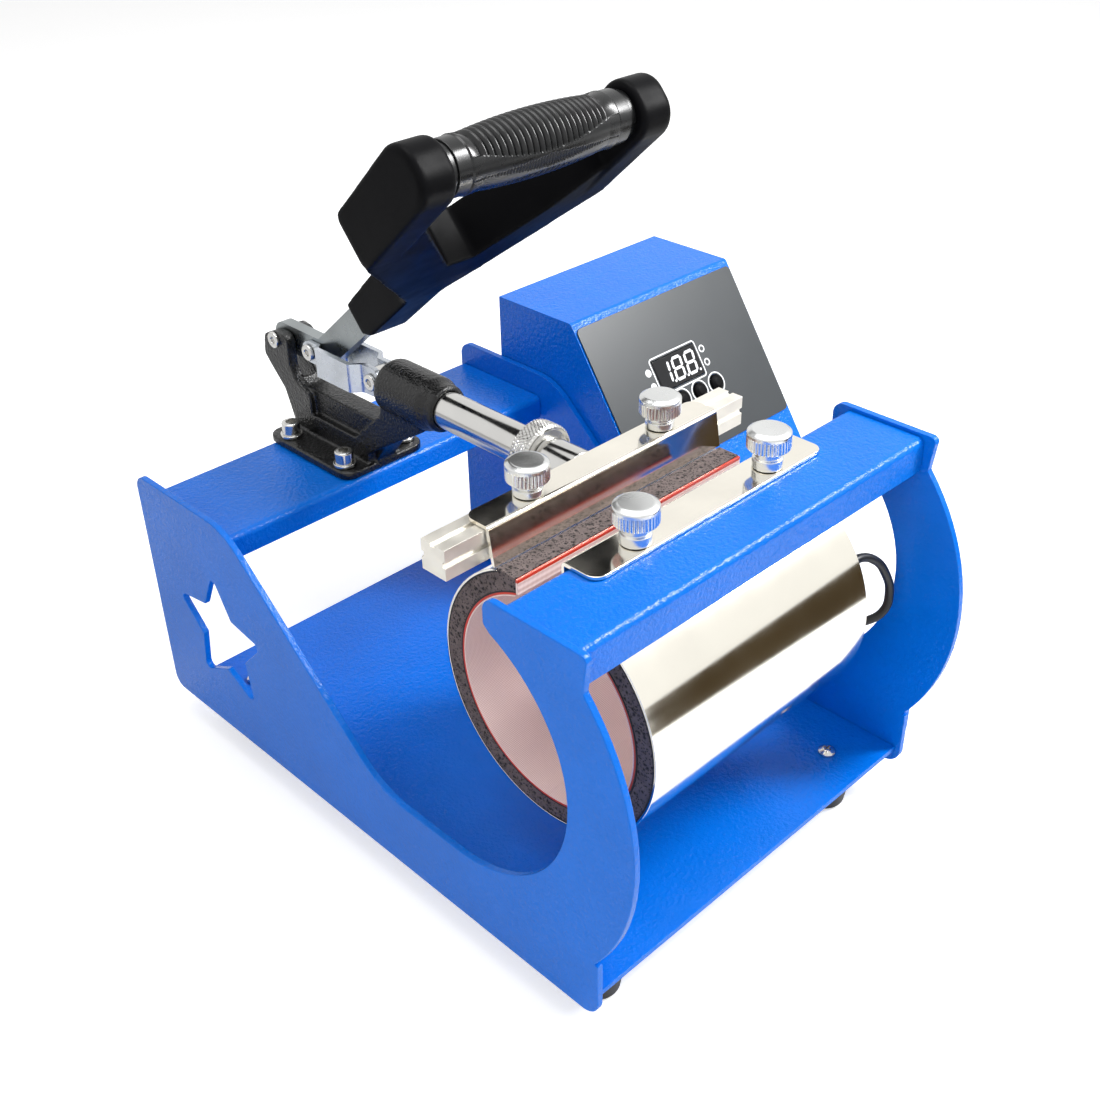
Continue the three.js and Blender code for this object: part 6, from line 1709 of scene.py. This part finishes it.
DIGIT_WIDTH = 6.2
DIGIT_HEIGHT = 11.2
DIGIT_PITCH = 9.6
DIGIT_LEAN = 0.12
SEGMENT_WIDTH = 1.5
SEGMENT_GAP = 0.18
POINT_RADIUS = 0.7
half_digit_x = DIGIT_WIDTH / 2
half_digit_y = DIGIT_HEIGHT / 2
SEGMENTS = {
    "a": ((-half_digit_x, half_digit_y), (half_digit_x, half_digit_y)),
    "b": ((half_digit_x, half_digit_y), (half_digit_x, 0)),
    "c": ((half_digit_x, 0), (half_digit_x, -half_digit_y)),
    "d": ((-half_digit_x, -half_digit_y), (half_digit_x, -half_digit_y)),
    "e": ((-half_digit_x, 0), (-half_digit_x, -half_digit_y)),
    "f": ((-half_digit_x, half_digit_y), (-half_digit_x, 0)),
    "g": ((-half_digit_x, 0), (half_digit_x, 0)),
}
SHOWN_DIGITS = ("bc", "abcdefg", "abcdefg")


def segment_outline(center_x, start, end):
    """A bar with pointed ends between two corners of a digit, leaning to the right."""
    first, last = Vector(start), Vector(end)
    along = (last - first).normalized()
    across = Vector((-along.y, along.x)) * SEGMENT_WIDTH / 2
    tip = along * SEGMENT_GAP
    inset = along * (SEGMENT_GAP + SEGMENT_WIDTH / 2)
    points = [
        first + tip,
        first + inset - across,
        last - inset - across,
        last - tip,
        last - inset + across,
        first + inset + across,
    ]
    return [(center_x + x + DIGIT_LEAN * y, -DISPLAY_DOWN + y) for x, y in points]


for place, segments in enumerate(SHOWN_DIGITS):
    center_x = DISPLAY_X + (place - 1) * DIGIT_PITCH
    point_x = center_x + half_digit_x + SEGMENT_WIDTH
    marks = {letter: segment_outline(center_x, *SEGMENTS[letter]) for letter in segments}
    marks["point"] = circle(point_x, -DISPLAY_DOWN - half_digit_y, POINT_RADIUS)
    for word, outline in marks.items():
        mark = on_slope(drawn("mark", outline, digit_bottom, display_face, "z"))
        stands_for(mark, print_white, "display_module", f"digit_{place}_{word}")

# Buttons: a flange behind the panel and a domed crown
BUTTON_STAND = 2
BUTTON_FLANGE_RADIUS = 5.4
BUTTON_FLANGE_THICKNESS = 1.2
crown = overlay_face + BUTTON_STAND
flange_face = -BOX_WALL - RUNNING_GAP
flange_back = flange_face - BUTTON_FLANGE_THICKNESS
button_profile = [
    (0, flange_back),
    (BUTTON_FLANGE_RADIUS, flange_back),
    (BUTTON_FLANGE_RADIUS, flange_face),
    (BUTTON_RADIUS, flange_face),
    (BUTTON_RADIUS, crown - BUTTON_STAND / 2, BUTTON_STAND / 2),
    (BUTTON_RADIUS / 2, crown, BUTTON_STAND),
    (0, crown),
]
for index, node in enumerate(BUTTON_NODES):
    button = turned("button", button_profile, "z", (button_x(index), -BUTTON_DOWN, 0))
    stands_for(on_slope(smooth(button)), black_plastic, node)

# Parts at the back of the box and inside it keep their CAD form with eased edges
for node, material, edge in (
    ("box_rear_cover", blue_paint, 0.4),
    ("power_inlet", black_plastic, 0.4),
    ("power_switch_frame", black_plastic, 0.4),
    ("power_rocker", black_plastic, 0.5),
    ("solid_state_relay", black_plastic, 0.5),
    ("controller_board", circuit_green, 0.2),
    ("lead_grommet", black_rubber, 0.3),
):
    stands_for(copied(node, edge), material, node)

COVER_SCREW_RADIUS = 1.5
COVER_SCREW_HEAD_RADIUS = 3
for corner in ("low_left", "low_right", "high_left", "high_right"):
    node = "cover_screw_" + corner
    low, high = span(node)
    place = (middle_of(node).x, 0, middle_of(node).z)
    seat = box_high.y + SEAT_GAP
    screw = pan_screw(COVER_SCREW_RADIUS, COVER_SCREW_HEAD_RADIUS, low.y, seat, high.y, "y", place)
    stands_for(smooth(screw), turned_steel, node)

# Floor and studio light. The floor is white for the camera and keeps the press's shadow.
FLOOR_SIZE = 12
FLOOR_GLOW = 0.52
AMBIENT = 0.32
WHITE = (1, 1, 1, 1)
BLACK = (0, 0, 0, 1)


def flat_sheet(name, width, height, to_place):
    """A flat sheet about its middle, moved to its place."""
    corners = [(-width, -height, 0), (width, -height, 0), (width, height, 0), (-width, height, 0)]
    obj = object_from(name, [Vector(corner) / 2 for corner in corners], faces=[(0, 1, 2, 3)])
    obj.data.transform(to_place)
    return obj


floor = flat_sheet("floor", FLOOR_SIZE, FLOOR_SIZE, Matrix.Identity(4))
floor_material, tree, shader = finish("floor", roughness=0.9, emission_color=WHITE)
specks = use_group(tree, tone_group, color=rgb(240, 240, 240), size=0.4, amount=0.01)["Color"]
seen = add_node(tree, "LightPath").outputs["Is Camera Ray"]
tree.links.new(specks, shader.inputs["Base Color"])
tree.links.new(mapped(tree, seen, 0.0, 1.0, 0.0, FLOOR_GLOW), shader.inputs["Emission Strength"])
floor.data.materials.append(floor_material)

world = bpy.data.worlds.new("studio")
bpy.context.scene.world = world
world.use_nodes = True
tree = world.node_tree
background = tree.nodes["Background"]
rays = add_node(tree, "LightPath").outputs
direct = math_node(tree, "MAXIMUM", rays["Is Camera Ray"], rays["Is Glossy Ray"])
direct = math_node(tree, "MAXIMUM", direct, rays["Is Transmission Ray"])
background.inputs["Color"].default_value = WHITE
tree.links.new(mapped(tree, direct, 0.0, 1.0, AMBIENT, 1.0), background.inputs["Strength"])

# A dark card that only mirrors see gives the shell its brown band
CARD_PLACE = Vector((0.2, -0.31, 0.095))
CARD_AIM = Vector((0, -0.12, 0.12))
CARD_WIDTH = 0.34
CARD_HEIGHT = 0.125
card_turn = (CARD_AIM - CARD_PLACE).to_track_quat("Z", "Y").to_matrix().to_4x4()
card = flat_sheet("shell_card", CARD_WIDTH, CARD_HEIGHT, Matrix.Translation(CARD_PLACE) @ card_turn)
card_material, tree, shader = finish(
    "shell_card", roughness=1.0, base_color=BLACK, specular_ior_level=0.0, emission_strength=1.0
)
tone = use_group(tree, tone_group, color=rgb(72, 60, 42), size=0.1, amount=0.1)["Color"]
tree.links.new(tone, shader.inputs["Emission Color"])
card.data.materials.append(card_material)
card.visible_camera = False
card.visible_diffuse = False
card.visible_shadow = False

LAMP_AIM = (cad_low + cad_high) / 2
SOFTBOXES = (
    ("key_light", (0.7, -0.59, 0.98), 0.25, 0.6, 20, True),
    ("top_light", (-0.15, 0.1, 1.4), 0.8, 0.8, 7, True),
    ("fill_light", (-0.75, -0.35, 0.5), 0.5, 0.5, 2.3, False),
)
for name, place, width, height, power, mirrored in SOFTBOXES:
    light = bpy.data.lights.new(name, "AREA")
    light.shape = "RECTANGLE"
    light.size = width
    light.size_y = height
    light.energy = power
    softbox = bpy.data.objects.new(name, light)
    bpy.context.collection.objects.link(softbox)
    softbox.location = place
    softbox.rotation_euler = (Vector(place) - LAMP_AIM).to_track_quat("Z", "Y").to_euler()
    softbox.visible_glossy = mirrored

bpy.context.view_layer.update()
